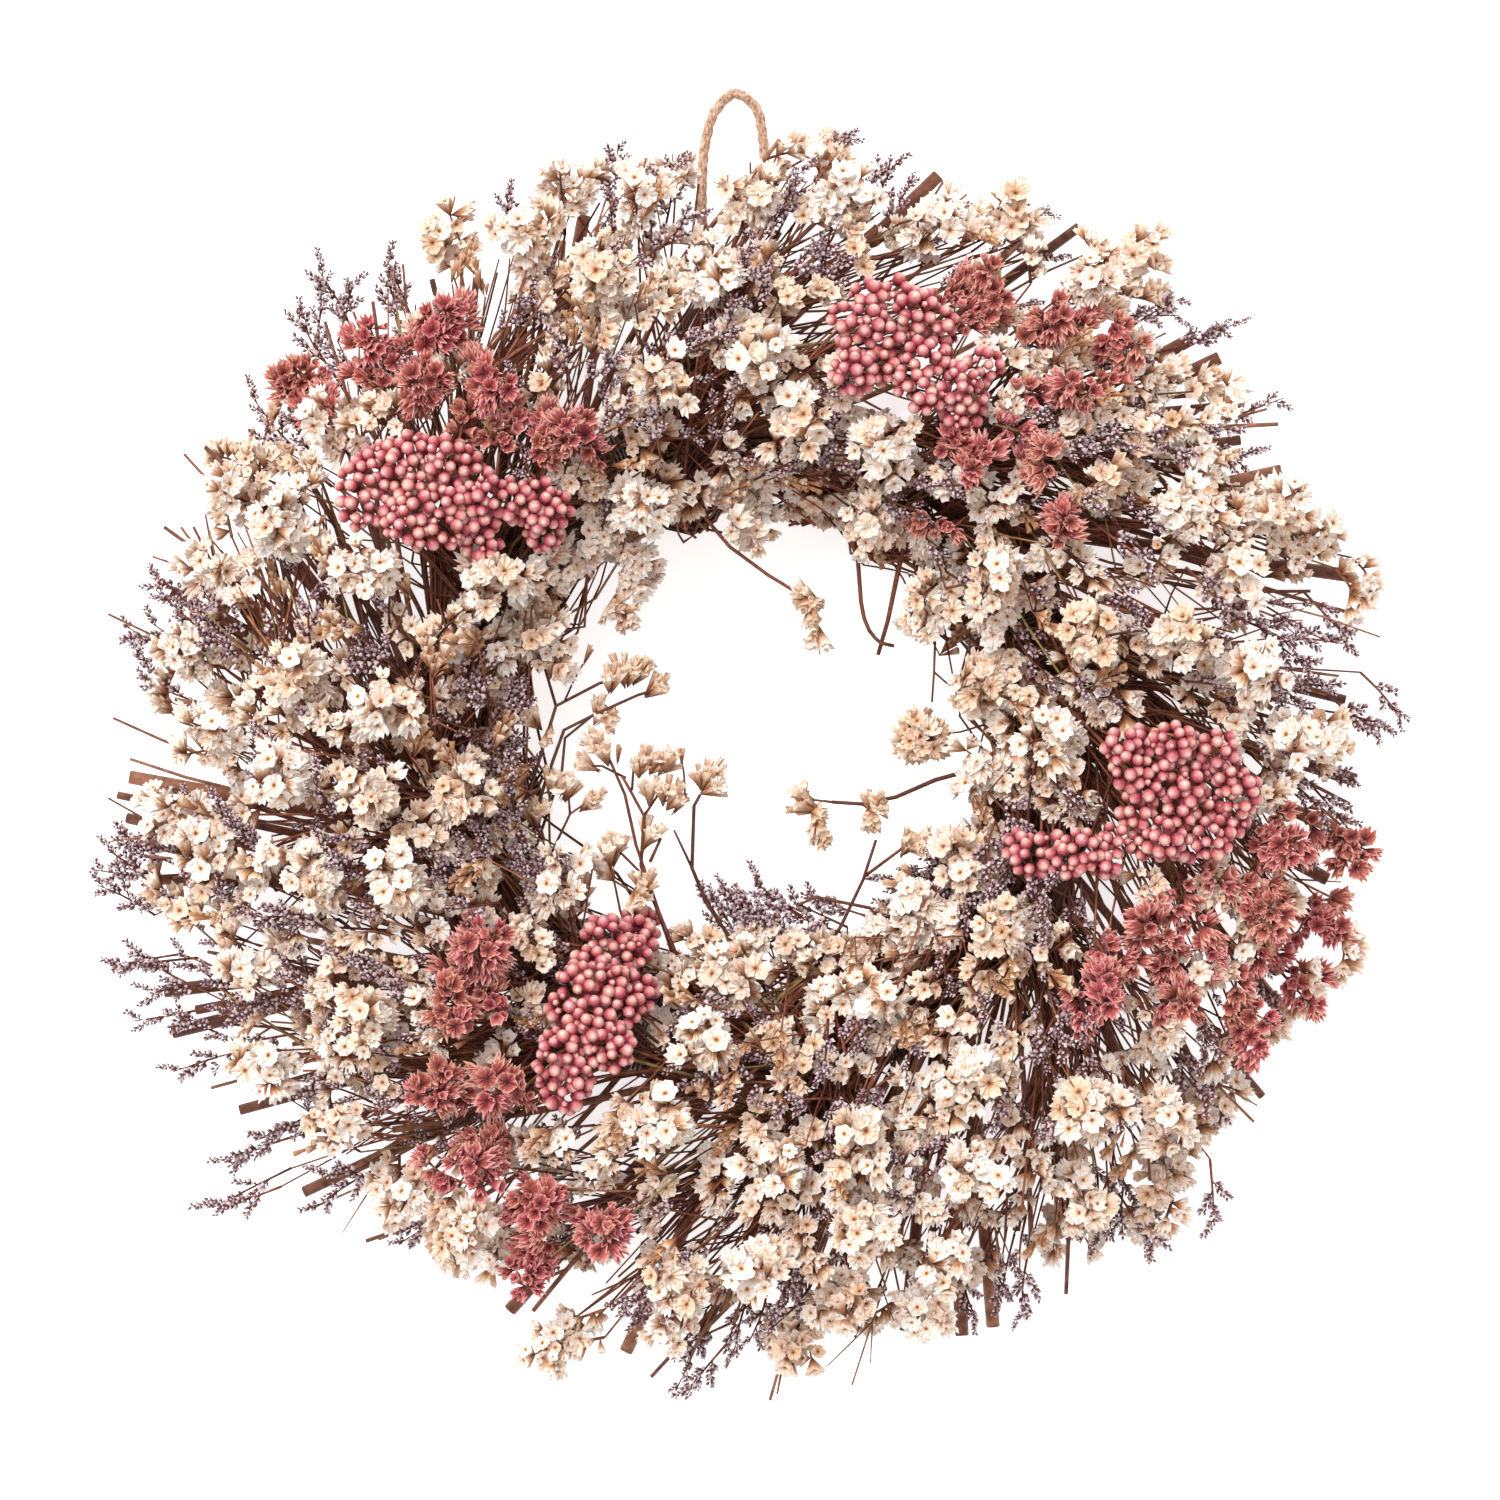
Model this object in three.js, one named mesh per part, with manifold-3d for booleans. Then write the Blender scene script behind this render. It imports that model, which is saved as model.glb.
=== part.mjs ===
// Dried flower wreath, lying flat on its back. Millimetres, +Z up.
// The ring of bundled stems rests on z = 0. Seen from above, +X is right and +Y is the top,
// where the twine loop is. Bunches are bound to the ring in eight places, six bunches side by
// side at each, and every bunch sweeps clockwise from its binding to its flower heads.
import * as THREE from 'three';
import { mergeVertices } from 'three/addons/utils/BufferGeometryUtils.js';
import Module from 'manifold-3d';

const wasm = await Module();
wasm.setup();

// How a spot in the photograph becomes a place: the picture is taken from straight above.
const MM_PER_PIXEL = 0.29;
const CENTRE_PIXEL = [752, 745];
const EYE_HEIGHT = 1400;
const SCALE_HEIGHT = 45;
// Moves the middle of the finished wreath onto the origin.
const CENTRING = [-2.75, -4.97];

// The ring of bundled stems.
const RING_RADIUS = 87;
const RING_TUBE = 14;
const RING_HEIGHT = 11.8;
const RING_STEPS = 48;
const RING_SIDES = 8;
const RING_RIBS = 4;
const RING_RIB = 0.07;
const RING_TWISTS = 6;
const PINCH_DEPTH = 4.4;
const PINCH_DEGREES = 5;

// The eight bindings, and the six bunches bound side by side at each.
const BINDINGS = 8;
const FIRST_BINDING = 25;
const LANES = [-8, 30, 68, 106, 144, 182];
const HANDLE_RADIUS = 2.6;
const WIRE_RADIUS = 0.6;
const CLEARANCE = 0.3;
const FLOOR_ROOM = 0.6;

// The flowers' canopy: half an oval over the ring, wider outward than inward.
const CANOPY_RADIUS = 108;
const CANOPY_HEIGHT = 28;
const CANOPY_OUTWARD = 62;
const CANOPY_INWARD = 42;
const CANOPY_RISE = 50;

// Flower heads.
const HEAD_RADIUS = 12.2;
const PINK_RADIUS = 10;
const CASPIA_RADIUS = 3.4;
const STEM_RADIUS = 0.8;
// Room kept between heads, and between white heads and coloured ones.
const HEAD_ROOM = 0.5;
const COLOUR_ROOM = 0.8;
const HEAD_SPACING = 25.2;
const BUNCH_SPACING = 23.6;
const THROWS = 5000;
// Lowest depth of a thrown head in the canopy, and how much deeper or higher it may be.
const THROW_DEPTH = [0.9, 0.14];
// The canopy's section from its inner edge to its outer edge, in degrees.
const THROW_LEAN = [-14, 206];
const SPOT_DEPTH = 0.9;
// How far round from its binding a white bunch reaches, in degrees.
const WHITE_SWEEP = [6, 60];
const AIM_SWEEP = 31;
const SEED = 20;

// Rice flower.
const LOBE_RADIUS = 7.8;
const BUD_CORE = 0.84;

// Twine.
const TWINE_RADIUS = 1.6;
const TIE_DEGREES = 92.5;
const TIE_PINCH = 6;
const TIE_CORNERS = 12;
const TIE_SLACK = 1.5;
// Degrees from the middle of the tie to each of its two turns.
const TIE_SPREAD = 0.85;
const KNOT = [-7.1, 101.3, 9];
const KNOT_SIZE = [5.4, 3.2, 3];

const COLOURS = {
  stem: [0x5c3d31, 0.85],
  wire: [0x6a6058, 0.5],
  twine: [0xbf9069, 0.95],
  white: [0xf3e4d2, 0.9],
  pink: [0xcd6b6b, 0.9],
  caspia: [0x7d6973, 0.95],
  rice: [0xd7707e, 0.7],
};

// Where the thick stems were cut: the end of each, as seen in the photograph.
const CUT_ENDS = [
  [130, 777], [127, 818], [172, 592], [226, 471], [584, 216], [1079, 227], [1195, 337],
  [1219, 358], [938, 176], [1281, 471], [1351, 576], [1355, 780], [1335, 828], [1327, 879],
  [1291, 1023], [1262, 1096], [962, 1335], [993, 1326], [510, 1310], [626, 1351],
  [848, 1259], [173, 1032], [165, 991],
];
const CUT_STEM_RADIUS = 2.2;
const CUT_TAPER = 0.9;
const CUT_SIDES = 5;
// Height of a cut end, and how much higher it may be.
const CUT_END_HEIGHT = [9, 16];
// Where a cut stem comes out of the ring: degrees back from its end, lean, and distance.
const CUT_SWEEP = [14, 40, 2];
const CUT_ROOT = [10, 6];
// Degrees kept free of cut stems on each side of a binding and of the twine.
const BINDING_ROOM = 4;
const TWINE_ROOM = 7;

// The loop of twine, from the knot out over the surface and back.
const LOOP_ROUTE = [
  [-10.3, 104.2, 8.6], [-11.5, 112, 4.5], [-12.5, 120, 1.7], [-13.4, 130, 1.7], [-14.2, 142, 1.7],
  [-14.8, 155, 1.7], [-15, 168, 1.7], [-14, 180, 1.7], [-10.8, 190, 1.7], [-5, 195, 1.7],
  [0.6, 191.5, 1.7], [3.2, 182, 1.7], [3.4, 170, 1.7], [2.4, 157, 1.7], [1, 143, 1.7],
  [-0.6, 130, 1.7], [-2, 120, 1.7], [-3, 112, 4.5], [-3.9, 104.2, 8.6],
];
const LOOP_STEPS = 24;
const LOOP_SIDES = 8;

// Spots of the coloured bunches, as seen in the photograph, with the binding each starts from.
const PINK = [
  [3, [[300, 385], [372, 345], [440, 326], [425, 388], [492, 392], [560, 436]]],
  [2, [[984, 284], [972, 456]]],
  [1, [[1052, 322], [1120, 346], [1074, 396], [1046, 462], [1066, 520]]],
  [0, [[1276, 846], [1345, 842], [1258, 912], [1325, 918]]],
  [0, [[1150, 924], [1106, 985], [1182, 998], [1249, 1025], [1300, 985]]],
  [5, [[478, 950], [452, 1010], [440, 1088], [500, 1084]]],
  [6, [[480, 1160], [540, 1200], [604, 1230], [530, 1272]]],
];
const RICE = [
  [3, [[358, 494], [400, 460], [446, 458], [486, 496], [542, 512]]],
  [2, [[853, 372], [868, 322], [916, 312], [926, 360], [958, 386]]],
  [0, [[1132, 770], [1172, 742], [1218, 750], [1238, 796], [1212, 838], [1164, 838],
    [1184, 790], [1082, 850], [1030, 858]]],
  [6, [[634, 942], [608, 986], [586, 1030], [570, 1080], [612, 1048]]],
];
const CASPIA = [
  [2, [[797, 172], [844, 140], [895, 165], [825, 248]]],
  [3, [[618, 150], [672, 160], [506, 197], [530, 290]]],
  [3, [[321, 275], [388, 262], [255, 400], [300, 318]]],
  [4, [[156, 580], [130, 628], [150, 680], [210, 600]]],
  [4, [[124, 837], [100, 870], [140, 905], [190, 880]]],
  [4, [[470, 690], [505, 745], [505, 815], [470, 860]]],
  [5, [[117, 965], [140, 1020], [180, 1070], [225, 1015]]],
  [5, [[261, 1138], [219, 1205], [320, 1205], [404, 1240]]],
  [6, [[640, 1320], [678, 1385], [735, 1350], [787, 1300]]],
  [7, [[1109, 1215], [1150, 1243], [1001, 1297], [1208, 1100]]],
  [0, [[1297, 620], [1348, 645], [1385, 725], [1350, 780]]],
  [1, [[1179, 300], [1231, 326], [1278, 400], [1225, 430]]],
];
// White bunches: how many start at each binding, and how they lean round the canopy, in degrees.
const WHITE_AT_BINDING = [2, 4, 3, 2, 3, 3, 3, 5];
const WHITE_SPREAD = {
  2: [52, 128],
  3: [25, 88, 150],
  4: [15, 60, 105, 155],
  5: [10, 45, 80, 115, 155],
};
// Single heads that stand out from the rest, in the hole and at the rim.
const WHITE_SPOTS = [
  [628, 668], [535, 722], [600, 738], [690, 752], [545, 790], [612, 837], [548, 879], [643, 880],
  [806, 612], [921, 735], [819, 815], [878, 815], [930, 850], [660, 540], [575, 162],
  [1310, 540], [1375, 582], [1345, 975], [148, 690], [160, 905], [213, 470], [560, 1345],
  [800, 1340], [860, 1322], [970, 1290], [1165, 1225], [1225, 400], [1134, 258], [1000, 215],
];
// Where the brown ring shows between the flowers.
const BARE = [[720, 455, 52], [800, 1060, 66], [975, 985, 34], [1095, 820, 30], [1045, 630, 40],
  [530, 590, 40], [490, 850, 36]];

const vec = (x, y, z) => new THREE.Vector3(x, y, z);
const radians = (degrees) => (degrees * Math.PI) / 180;

// A repeatable draw between 0 and 1.
function seeded(seed) {
  let state = seed >>> 0;
  return () => {
    state = (state + 0x6d2b79f5) >>> 0;
    let t = Math.imul(state ^ (state >>> 15), 1 | state);
    t = (t + Math.imul(t ^ (t >>> 7), 61 | t)) ^ t;
    return ((t ^ (t >>> 14)) >>> 0) / 4294967296;
  };
}

// The place at one height that the photograph shows at a pixel.
function seenAt([px, py], height) {
  const scale = (MM_PER_PIXEL * (EYE_HEIGHT - height)) / (EYE_HEIGHT - SCALE_HEIGHT);
  return vec((px - CENTRE_PIXEL[0]) * scale, (CENTRE_PIXEL[1] - py) * scale, height);
}

// The place on the canopy that the photograph shows at a pixel.
function onCanopy(pixel, depth = 1) {
  let place = seenAt(pixel, CANOPY_HEIGHT + CANOPY_RISE);
  for (let pass = 0; pass < 3; pass += 1) {
    const out = Math.hypot(place.x, place.y) - CANOPY_RADIUS;
    const share = out / (out > 0 ? CANOPY_OUTWARD : CANOPY_INWARD);
    const rise = Math.sqrt(Math.max(0, 1 - share * share));
    place = seenAt(pixel, CANOPY_HEIGHT + CANOPY_RISE * rise * depth);
  }
  return place;
}

// A place given round the wreath, round the canopy's section, and by depth.
function inCanopy(around, lean, depth = 1) {
  const side = Math.cos(radians(lean));
  const reach = side > 0 ? CANOPY_OUTWARD : CANOPY_INWARD;
  const radius = CANOPY_RADIUS + reach * side * depth;
  const height = CANOPY_HEIGHT + CANOPY_RISE * Math.sin(radians(lean)) * depth;
  return vec(Math.cos(radians(around)) * radius, Math.sin(radians(around)) * radius, height);
}

// A place round the ring's own section.
function onRing(around, lean, distance) {
  const radius = RING_RADIUS + Math.cos(radians(lean)) * distance;
  const height = RING_HEIGHT + Math.sin(radians(lean)) * distance;
  return vec(Math.cos(radians(around)) * radius, Math.sin(radians(around)) * radius, height);
}

const degreesOf = (place) => THREE.MathUtils.radToDeg(Math.atan2(place.y, place.x));
const turnBetween = (from, to) => ((((from - to) % 360) + 540) % 360) - 180;

// The way a flower faces: out of the canopy, and a little clockwise.
const FACE_UP = [0.25, 0.2];
const FACE_CLOCKWISE = 0.25;
function facing(place) {
  const radius = Math.hypot(place.x, place.y);
  const out = (radius - CANOPY_RADIUS) / (radius > CANOPY_RADIUS ? CANOPY_OUTWARD : CANOPY_INWARD);
  const up = (place.z - CANOPY_HEIGHT) / CANOPY_RISE;
  const outward = vec(place.x / radius, place.y / radius, 0);
  const clockwise = vec(outward.y, -outward.x, 0);
  return outward.multiplyScalar(out).add(vec(0, 0, Math.max(up, FACE_UP[0]) + FACE_UP[1]))
    .normalize().addScaledVector(clockwise, FACE_CLOCKWISE).normalize();
}

// Straight pieces with round ends stand for everything when a way past it is looked for.
const taken = [];

function take(owner, from, to, radius) {
  taken.push({ owner, from, to, radius });
}

function spanGap(a, b, c, d) {
  const u = vec(0, 0, 0).subVectors(b, a);
  const v = vec(0, 0, 0).subVectors(d, c);
  const w = vec(0, 0, 0).subVectors(a, c);
  const uu = u.dot(u);
  const uv = u.dot(v);
  const vv = v.dot(v);
  const uw = u.dot(w);
  const vw = v.dot(w);
  const clamp = (value) => Math.min(1, Math.max(0, value));
  const det = uu * vv - uv * uv;
  let s = det > 1e-9 ? clamp((uv * vw - vv * uw) / det) : 0;
  let t = vv > 1e-9 ? clamp((uv * s + vw) / vv) : 0;
  s = uu > 1e-9 ? clamp((uv * t - uw) / uu) : 0;
  t = vv > 1e-9 ? clamp((uv * s + vw) / vv) : 0;
  return w.addScaledVector(u, s).addScaledVector(v, -t).length();
}

function ringGap(place) {
  return Math.hypot(Math.hypot(place.x, place.y) - RING_RADIUS, place.z - RING_HEIGHT)
    - RING_TUBE * (1 + RING_RIB);
}

// True if a path can lie there without touching what another node has taken.
function pathIsClear(owner, path, radius) {
  for (let i = 0; i + 1 < path.length; i += 1) {
    for (const other of taken) {
      if (other.owner === owner) continue;
      const need = radius + other.radius + CLEARANCE;
      if (spanGap(path[i], path[i + 1], other.from, other.to) < need) return false;
    }
    for (let part = 0; part <= 4; part += 1) {
      const place = path[i].clone().lerp(path[i + 1], part / 4);
      if (ringGap(place) < radius + CLEARANCE) return false;
      if (place.z < radius + FLOOR_ROOM) return false;
    }
  }
  return true;
}

// Closed mesh from corners and triangles.
function solid(corners, triangles) {
  const vertProperties = new Float32Array(corners.length * 3);
  corners.forEach((corner, i) => corner.toArray(vertProperties, i * 3));
  const mesh = new wasm.Mesh({ numProp: 3, vertProperties, triVerts: new Uint32Array(triangles.flat()) });
  return new wasm.Manifold(mesh);
}

function solidOf(geometry) {
  const bare = geometry.clone();
  bare.deleteAttribute('normal');
  bare.deleteAttribute('uv');
  const merged = mergeVertices(bare, 1e-4);
  return new wasm.Manifold(new wasm.Mesh({
    numProp: 3,
    vertProperties: merged.attributes.position.array,
    triVerts: new Uint32Array(merged.index.array),
  }));
}

function geometryOf(manifold) {
  const mesh = manifold.getMesh();
  const geometry = new THREE.BufferGeometry();
  geometry.setAttribute('position', new THREE.BufferAttribute(mesh.vertProperties, 3));
  geometry.setIndex(new THREE.BufferAttribute(mesh.triVerts, 1));
  geometry.computeVertexNormals();
  return geometry;
}

// Rings of corners across a path, each turned as little as possible from the last.
function ringsAlong(path, radii, sides, closed = false) {
  const rings = [];
  let across = null;
  path.forEach((place, i) => {
    const before = closed ? path[(i + path.length - 1) % path.length] : path[Math.max(0, i - 1)];
    const after = closed ? path[(i + 1) % path.length] : path[Math.min(path.length - 1, i + 1)];
    const along = vec(0, 0, 0).subVectors(after, before).normalize();
    if (!across) across = Math.abs(along.z) > 0.9 ? vec(1, 0, 0) : vec(0, 0, 1);
    across.addScaledVector(along, -across.dot(along)).normalize();
    const aside = vec(0, 0, 0).crossVectors(along, across);
    rings.push(Array.from({ length: sides }, (_, side) => {
      const angle = (2 * Math.PI * side) / sides;
      return place.clone().addScaledVector(across, Math.cos(angle) * radii[i])
        .addScaledVector(aside, Math.sin(angle) * radii[i]);
    }));
  });
  return rings;
}

function bandTriangles(first, second, sides) {
  const triangles = [];
  for (let side = 0; side < sides; side += 1) {
    const next = (side + 1) % sides;
    triangles.push([first + side, first + next, second + side]);
    triangles.push([first + next, second + next, second + side]);
  }
  return triangles;
}

function capTriangles(first, sides, facingBack) {
  const triangles = [];
  for (let side = 1; side + 1 < sides; side += 1) {
    triangles.push(facingBack ? [first, first + side + 1, first + side] : [first, first + side, first + side + 1]);
  }
  return triangles;
}

// A tapering stem along a path.
function stem(path, radii, sides) {
  const rings = ringsAlong(path, radii, sides);
  const triangles = capTriangles(0, sides, true);
  for (let i = 0; i + 1 < rings.length; i += 1) {
    triangles.push(...bandTriangles(i * sides, (i + 1) * sides, sides));
  }
  triangles.push(...capTriangles((rings.length - 1) * sides, sides, false));
  return solid(rings.flat(), triangles);
}

// A closed loop of wire.
function band(path, radius, sides) {
  const rings = ringsAlong(path, path.map(() => radius), sides, true);
  const triangles = [];
  rings.forEach((_, i) => {
    triangles.push(...bandTriangles(i * sides, ((i + 1) % rings.length) * sides, sides));
  });
  return solid(rings.flat(), triangles);
}

// A head on a three-sided stem: a dome of six five-sided faces. Sunk faces are open florets,
// and raised ones are round closed buds.
const TOP_SHARE = [0.607, 0.795];
const RIM_SHARE = [0.982, 0.188];
const FLORET_SHARE = 0.52;
const BUD_RING = [0.74, 1.24];
const BUD_TIP = 1.5;
const NECK_SHARE = 0.85;
const NECK_WIDTH = 0.45;
function domedHead(place, up, radius, path, spin, buds) {
  const across = Math.abs(up.z) > 0.9 ? vec(1, 0, 0) : vec(0, 0, 1);
  across.addScaledVector(up, -across.dot(up)).normalize();
  const aside = vec(0, 0, 0).crossVectors(up, across);
  const at = (turn, [wide, high], side = 1) => place.clone()
    .addScaledVector(across, Math.cos(turn + spin) * wide * radius)
    .addScaledVector(aside, Math.sin(turn + spin) * wide * radius)
    .addScaledVector(up, high * side * radius);
  const step = (2 * Math.PI) / 5;
  const corners = [];
  for (let i = 0; i < 5; i += 1) corners.push(at(i * step, TOP_SHARE));
  for (let i = 0; i < 5; i += 1) corners.push(at(i * step, RIM_SHARE), at((i + 0.5) * step, RIM_SHARE, -1));
  const triangles = [];
  const fan = (loop, tip) => {
    corners.push(tip);
    loop.forEach((corner, i) => triangles.push([corner, loop[(i + 1) % loop.length], corners.length - 1]));
  };
  const flower = (loop) => {
    const middle = vec(0, 0, 0);
    loop.forEach((corner) => middle.addScaledVector(corners[corner], 1 / loop.length));
    if (!buds) {
      fan(loop, middle.lerp(place, 1 - FLORET_SHARE));
      return;
    }
    const outward = vec(0, 0, 0).subVectors(middle, place);
    const first = corners.length;
    loop.forEach((corner) => corners.push(middle.clone().lerp(corners[corner], BUD_RING[0])
      .addScaledVector(outward, BUD_RING[1] - 1)));
    loop.forEach((corner, i) => {
      const next = (i + 1) % loop.length;
      triangles.push([corner, loop[next], first + i], [loop[next], first + next, first + i]);
    });
    fan(loop.map((_, i) => first + i), place.clone().addScaledVector(outward, BUD_TIP));
  };
  flower([0, 1, 2, 3, 4]);
  for (let i = 0; i < 5; i += 1) {
    const next = (i + 1) % 5;
    flower([i, 5 + 2 * i, 6 + 2 * i, 5 + 2 * next, next]);
  }
  // The underside draws in to the stem.
  const firstStem = corners.length;
  const neck = place.clone().addScaledVector(up, -NECK_SHARE * radius);
  const way = [...path, neck];
  way.forEach((spot, i) => {
    const along = i + 1 < way.length ? vec(0, 0, 0).subVectors(way[i + 1], spot).normalize() : up;
    const wide = across.clone().applyAxisAngle(up, spin);
    wide.addScaledVector(along, -wide.dot(along)).normalize();
    const deep = vec(0, 0, 0).crossVectors(along, wide);
    for (let side = 0; side < 3; side += 1) {
      const angle = (2 * Math.PI * side) / 3;
      corners.push(spot.clone().addScaledVector(wide, Math.cos(angle) * STEM_RADIUS)
        .addScaledVector(deep, Math.sin(angle) * STEM_RADIUS));
    }
  });
  triangles.push(...capTriangles(firstStem, 3, true));
  for (let i = 0; i + 1 < way.length; i += 1) {
    triangles.push(...bandTriangles(firstStem + 3 * i, firstStem + 3 * (i + 1), 3));
  }
  const neckRing = firstStem + 3 * (way.length - 1);
  const nearest = (rim) => neckRing + (Math.round((rim * 3) / 10) % 3);
  for (let rim = 0; rim < 10; rim += 1) {
    const next = (rim + 1) % 10;
    triangles.push([5 + rim, nearest(rim), 5 + next]);
    if (nearest(rim) !== nearest(next)) triangles.push([nearest(rim), nearest(next), 5 + next]);
  }
  return solid(corners, triangles);
}

// A spike of caspia: small ruffs of florets on a straight tip.
const SPIKE_LENGTH = 24;
const RUFFS = [[0.2, 2.9], [0.44, 1], [0.64, 2.5], [1, 0.4]];
function caspiaSpike(path, foot, tip) {
  const places = [...path, foot];
  const radii = places.map(() => STEM_RADIUS);
  RUFFS.forEach(([share, radius]) => {
    places.push(foot.clone().lerp(tip, share));
    radii.push(radius);
  });
  return stem(places, radii, 3);
}

// The bunches, binding by binding. Each knows its lane on the ring and its heads.
const bindingDegrees = (binding) => FIRST_BINDING + (binding * 360) / BINDINGS;
const bunches = [];

function addBunches(kind, rows, radius) {
  rows.forEach(([binding, spots], i) => {
    const name = `${kind}_${String(i + 1).padStart(2, '0')}`;
    const heads = spots.map((spot) => ({ place: onCanopy(spot, 1), radius }));
    const free = heads.filter((head) => bunches.every((other) => other.heads.every((near) => (
      near.place.distanceTo(head.place) > near.radius + head.radius + HEAD_ROOM))));
    const aim = vec(0, 0, 0);
    free.forEach((head) => aim.addScaledVector(head.place, 1 / free.length));
    bunches.push({ kind, name, binding, heads: free, aim });
  });
}

addBunches('pink_statice', PINK, PINK_RADIUS);
addBunches('rice_flower', RICE, LOBE_RADIUS);
addBunches('caspia', CASPIA, CASPIA_RADIUS);
let whiteCount = 0;
WHITE_AT_BINDING.forEach((count, binding) => {
  WHITE_SPREAD[count].forEach((lean) => {
    whiteCount += 1;
    const name = `white_statice_${String(whiteCount).padStart(2, '0')}`;
    const aim = inCanopy(bindingDegrees(binding) - AIM_SWEEP, lean);
    bunches.push({ kind: 'white_statice', name, binding, heads: [], aim });
  });
});

// Handles lie side by side at each binding.
const handleName = (binding, lane) => `handle ${binding} ${lane}`;
const HANDLE_LENGTH = [9, 0, -11];
const HANDLE_DISTANCE = [
  RING_TUBE + 4.6,
  RING_TUBE - PINCH_DEPTH + CLEARANCE + HANDLE_RADIUS + 0.4,
  RING_TUBE + 6.5,
];
for (let binding = 0; binding < BINDINGS; binding += 1) {
  LANES.forEach((lane) => {
    const start = bindingDegrees(binding);
    const [from, at, to] = HANDLE_LENGTH.map((turn, i) => onRing(start + turn, lane, HANDLE_DISTANCE[i]));
    take(handleName(binding, lane), from, at, HANDLE_RADIUS);
    take(handleName(binding, lane), at, to, HANDLE_RADIUS);
  });
}

// Thick cut stems slope out of the ring, past the handles.
const drawStem = seeded(SEED);
const cutStems = [];
const ties = Array.from({ length: BINDINGS }, (_, binding) => [bindingDegrees(binding), BINDING_ROOM]);
ties.push([TIE_DEGREES, TWINE_ROOM]);
CUT_ENDS.forEach((spot) => {
  const end = seenAt(spot, CUT_END_HEIGHT[0] + CUT_END_HEIGHT[1] * drawStem());
  for (let sweep = CUT_SWEEP[0]; sweep < CUT_SWEEP[1]; sweep += CUT_SWEEP[2]) {
    const root = onRing(degreesOf(end) + sweep, ...CUT_ROOT);
    const clearOfHandles = taken.every((other) => (
      spanGap(root, end, other.from, other.to) > other.radius + CUT_STEM_RADIUS + CLEARANCE));
    const mouth = root.clone().lerp(end, (RING_TUBE + 2) / root.distanceTo(end));
    const clearOfTies = [root, mouth].every((place) => ties.every(([tie, room]) => (
      Math.abs(turnBetween(degreesOf(place), tie)) > room)));
    if (clearOfHandles && clearOfTies) {
      cutStems.push([root, end]);
      return;
    }
  }
});
cutStems.forEach(([root, end]) => take('stem_ring', root, end, CUT_STEM_RADIUS));
const loopPlaces = LOOP_ROUTE.map((place) => vec(...place));
loopPlaces.slice(1).forEach((place, i) => take('hanging_loop', loopPlaces[i], place, TWINE_RADIUS));

// The room that a bunch's heads take.
function settleHeads(bunch) {
  bunch.heads.forEach((head) => {
    head.up = facing(head.place);
    if (bunch.kind === 'caspia') {
      head.foot = head.place.clone().addScaledVector(head.up, -SPIKE_LENGTH);
      take(bunch.name, head.foot, head.place, RUFFS[0][1]);
      return;
    }
    head.foot = head.place.clone().addScaledVector(head.up, -NECK_SHARE * head.radius);
    take(bunch.name, head.place, head.place, head.radius);
    take(bunch.name, head.place, head.foot, head.radius * NECK_WIDTH);
  });
}
bunches.forEach(settleHeads);

// White heads: the ones that stand out first, then the rest where there is room.
const whites = bunches.filter((bunch) => bunch.kind === 'white_statice');
const others = bunches.filter((bunch) => bunch.kind !== 'white_statice');

function whiteBunchFor(place) {
  let best = null;
  whites.forEach((bunch) => {
    const sweep = turnBetween(bindingDegrees(bunch.binding), degreesOf(place));
    if (sweep < WHITE_SWEEP[0] || sweep > WHITE_SWEEP[1]) return;
    const distance = bunch.aim.distanceTo(place);
    if (!best || distance < best.distance) best = { bunch, distance };
  });
  return best ? best.bunch : null;
}

function tryWhite(place) {
  if (place.z < HEAD_RADIUS + 1) return;
  if (ringGap(place) < HEAD_RADIUS + 2 * HANDLE_RADIUS + 1) return;
  const bunch = whiteBunchFor(place);
  if (!bunch) return;
  for (const other of others) {
    for (const head of other.heads) {
      if (head.place.distanceTo(place) < head.radius + HEAD_RADIUS + COLOUR_ROOM) return;
    }
  }
  for (const other of whites) {
    const spacing = other === bunch ? BUNCH_SPACING : HEAD_SPACING;
    for (const head of other.heads) if (head.place.distanceTo(place) < spacing) return;
  }
  for (const other of taken) {
    if (spanGap(place, place, other.from, other.to) < HEAD_RADIUS + other.radius + HEAD_ROOM) return;
  }
  bunch.heads.push({ place, radius: HEAD_RADIUS });
}

WHITE_SPOTS.forEach((spot) => tryWhite(onCanopy(spot, SPOT_DEPTH)));
const draw = seeded(SEED + 1);
for (let i = 0; i < THROWS; i += 1) {
  const around = 360 * draw();
  const lean = THROW_LEAN[0] + THROW_LEAN[1] * draw();
  const place = inCanopy(around, lean, THROW_DEPTH[0] + THROW_DEPTH[1] * draw());
  const scale = (MM_PER_PIXEL * (EYE_HEIGHT - place.z)) / (EYE_HEIGHT - SCALE_HEIGHT);
  const pixel = [CENTRE_PIXEL[0] + place.x / scale, CENTRE_PIXEL[1] - place.y / scale];
  const bare = BARE.some(([x, y, size]) => Math.hypot(pixel[0] - x, pixel[1] - y) < size);
  if (!bare) tryWhite(place);
}

whites.forEach(settleHeads);

// Lanes: at each binding the outermost bunch lies outermost.
for (let binding = 0; binding < BINDINGS; binding += 1) {
  const here = bunches.filter((bunch) => bunch.binding === binding);
  const leanOf = ({ aim }) => Math.atan2(aim.z - RING_HEIGHT, Math.hypot(aim.x, aim.y) - RING_RADIUS);
  here.sort((a, b) => leanOf(a) - leanOf(b));
  here.forEach((bunch, i) => {
    bunch.lane = LANES[i];
    taken.forEach((other) => {
      if (other.owner === handleName(binding, bunch.lane)) other.owner = bunch.name;
    });
  });
}

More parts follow.
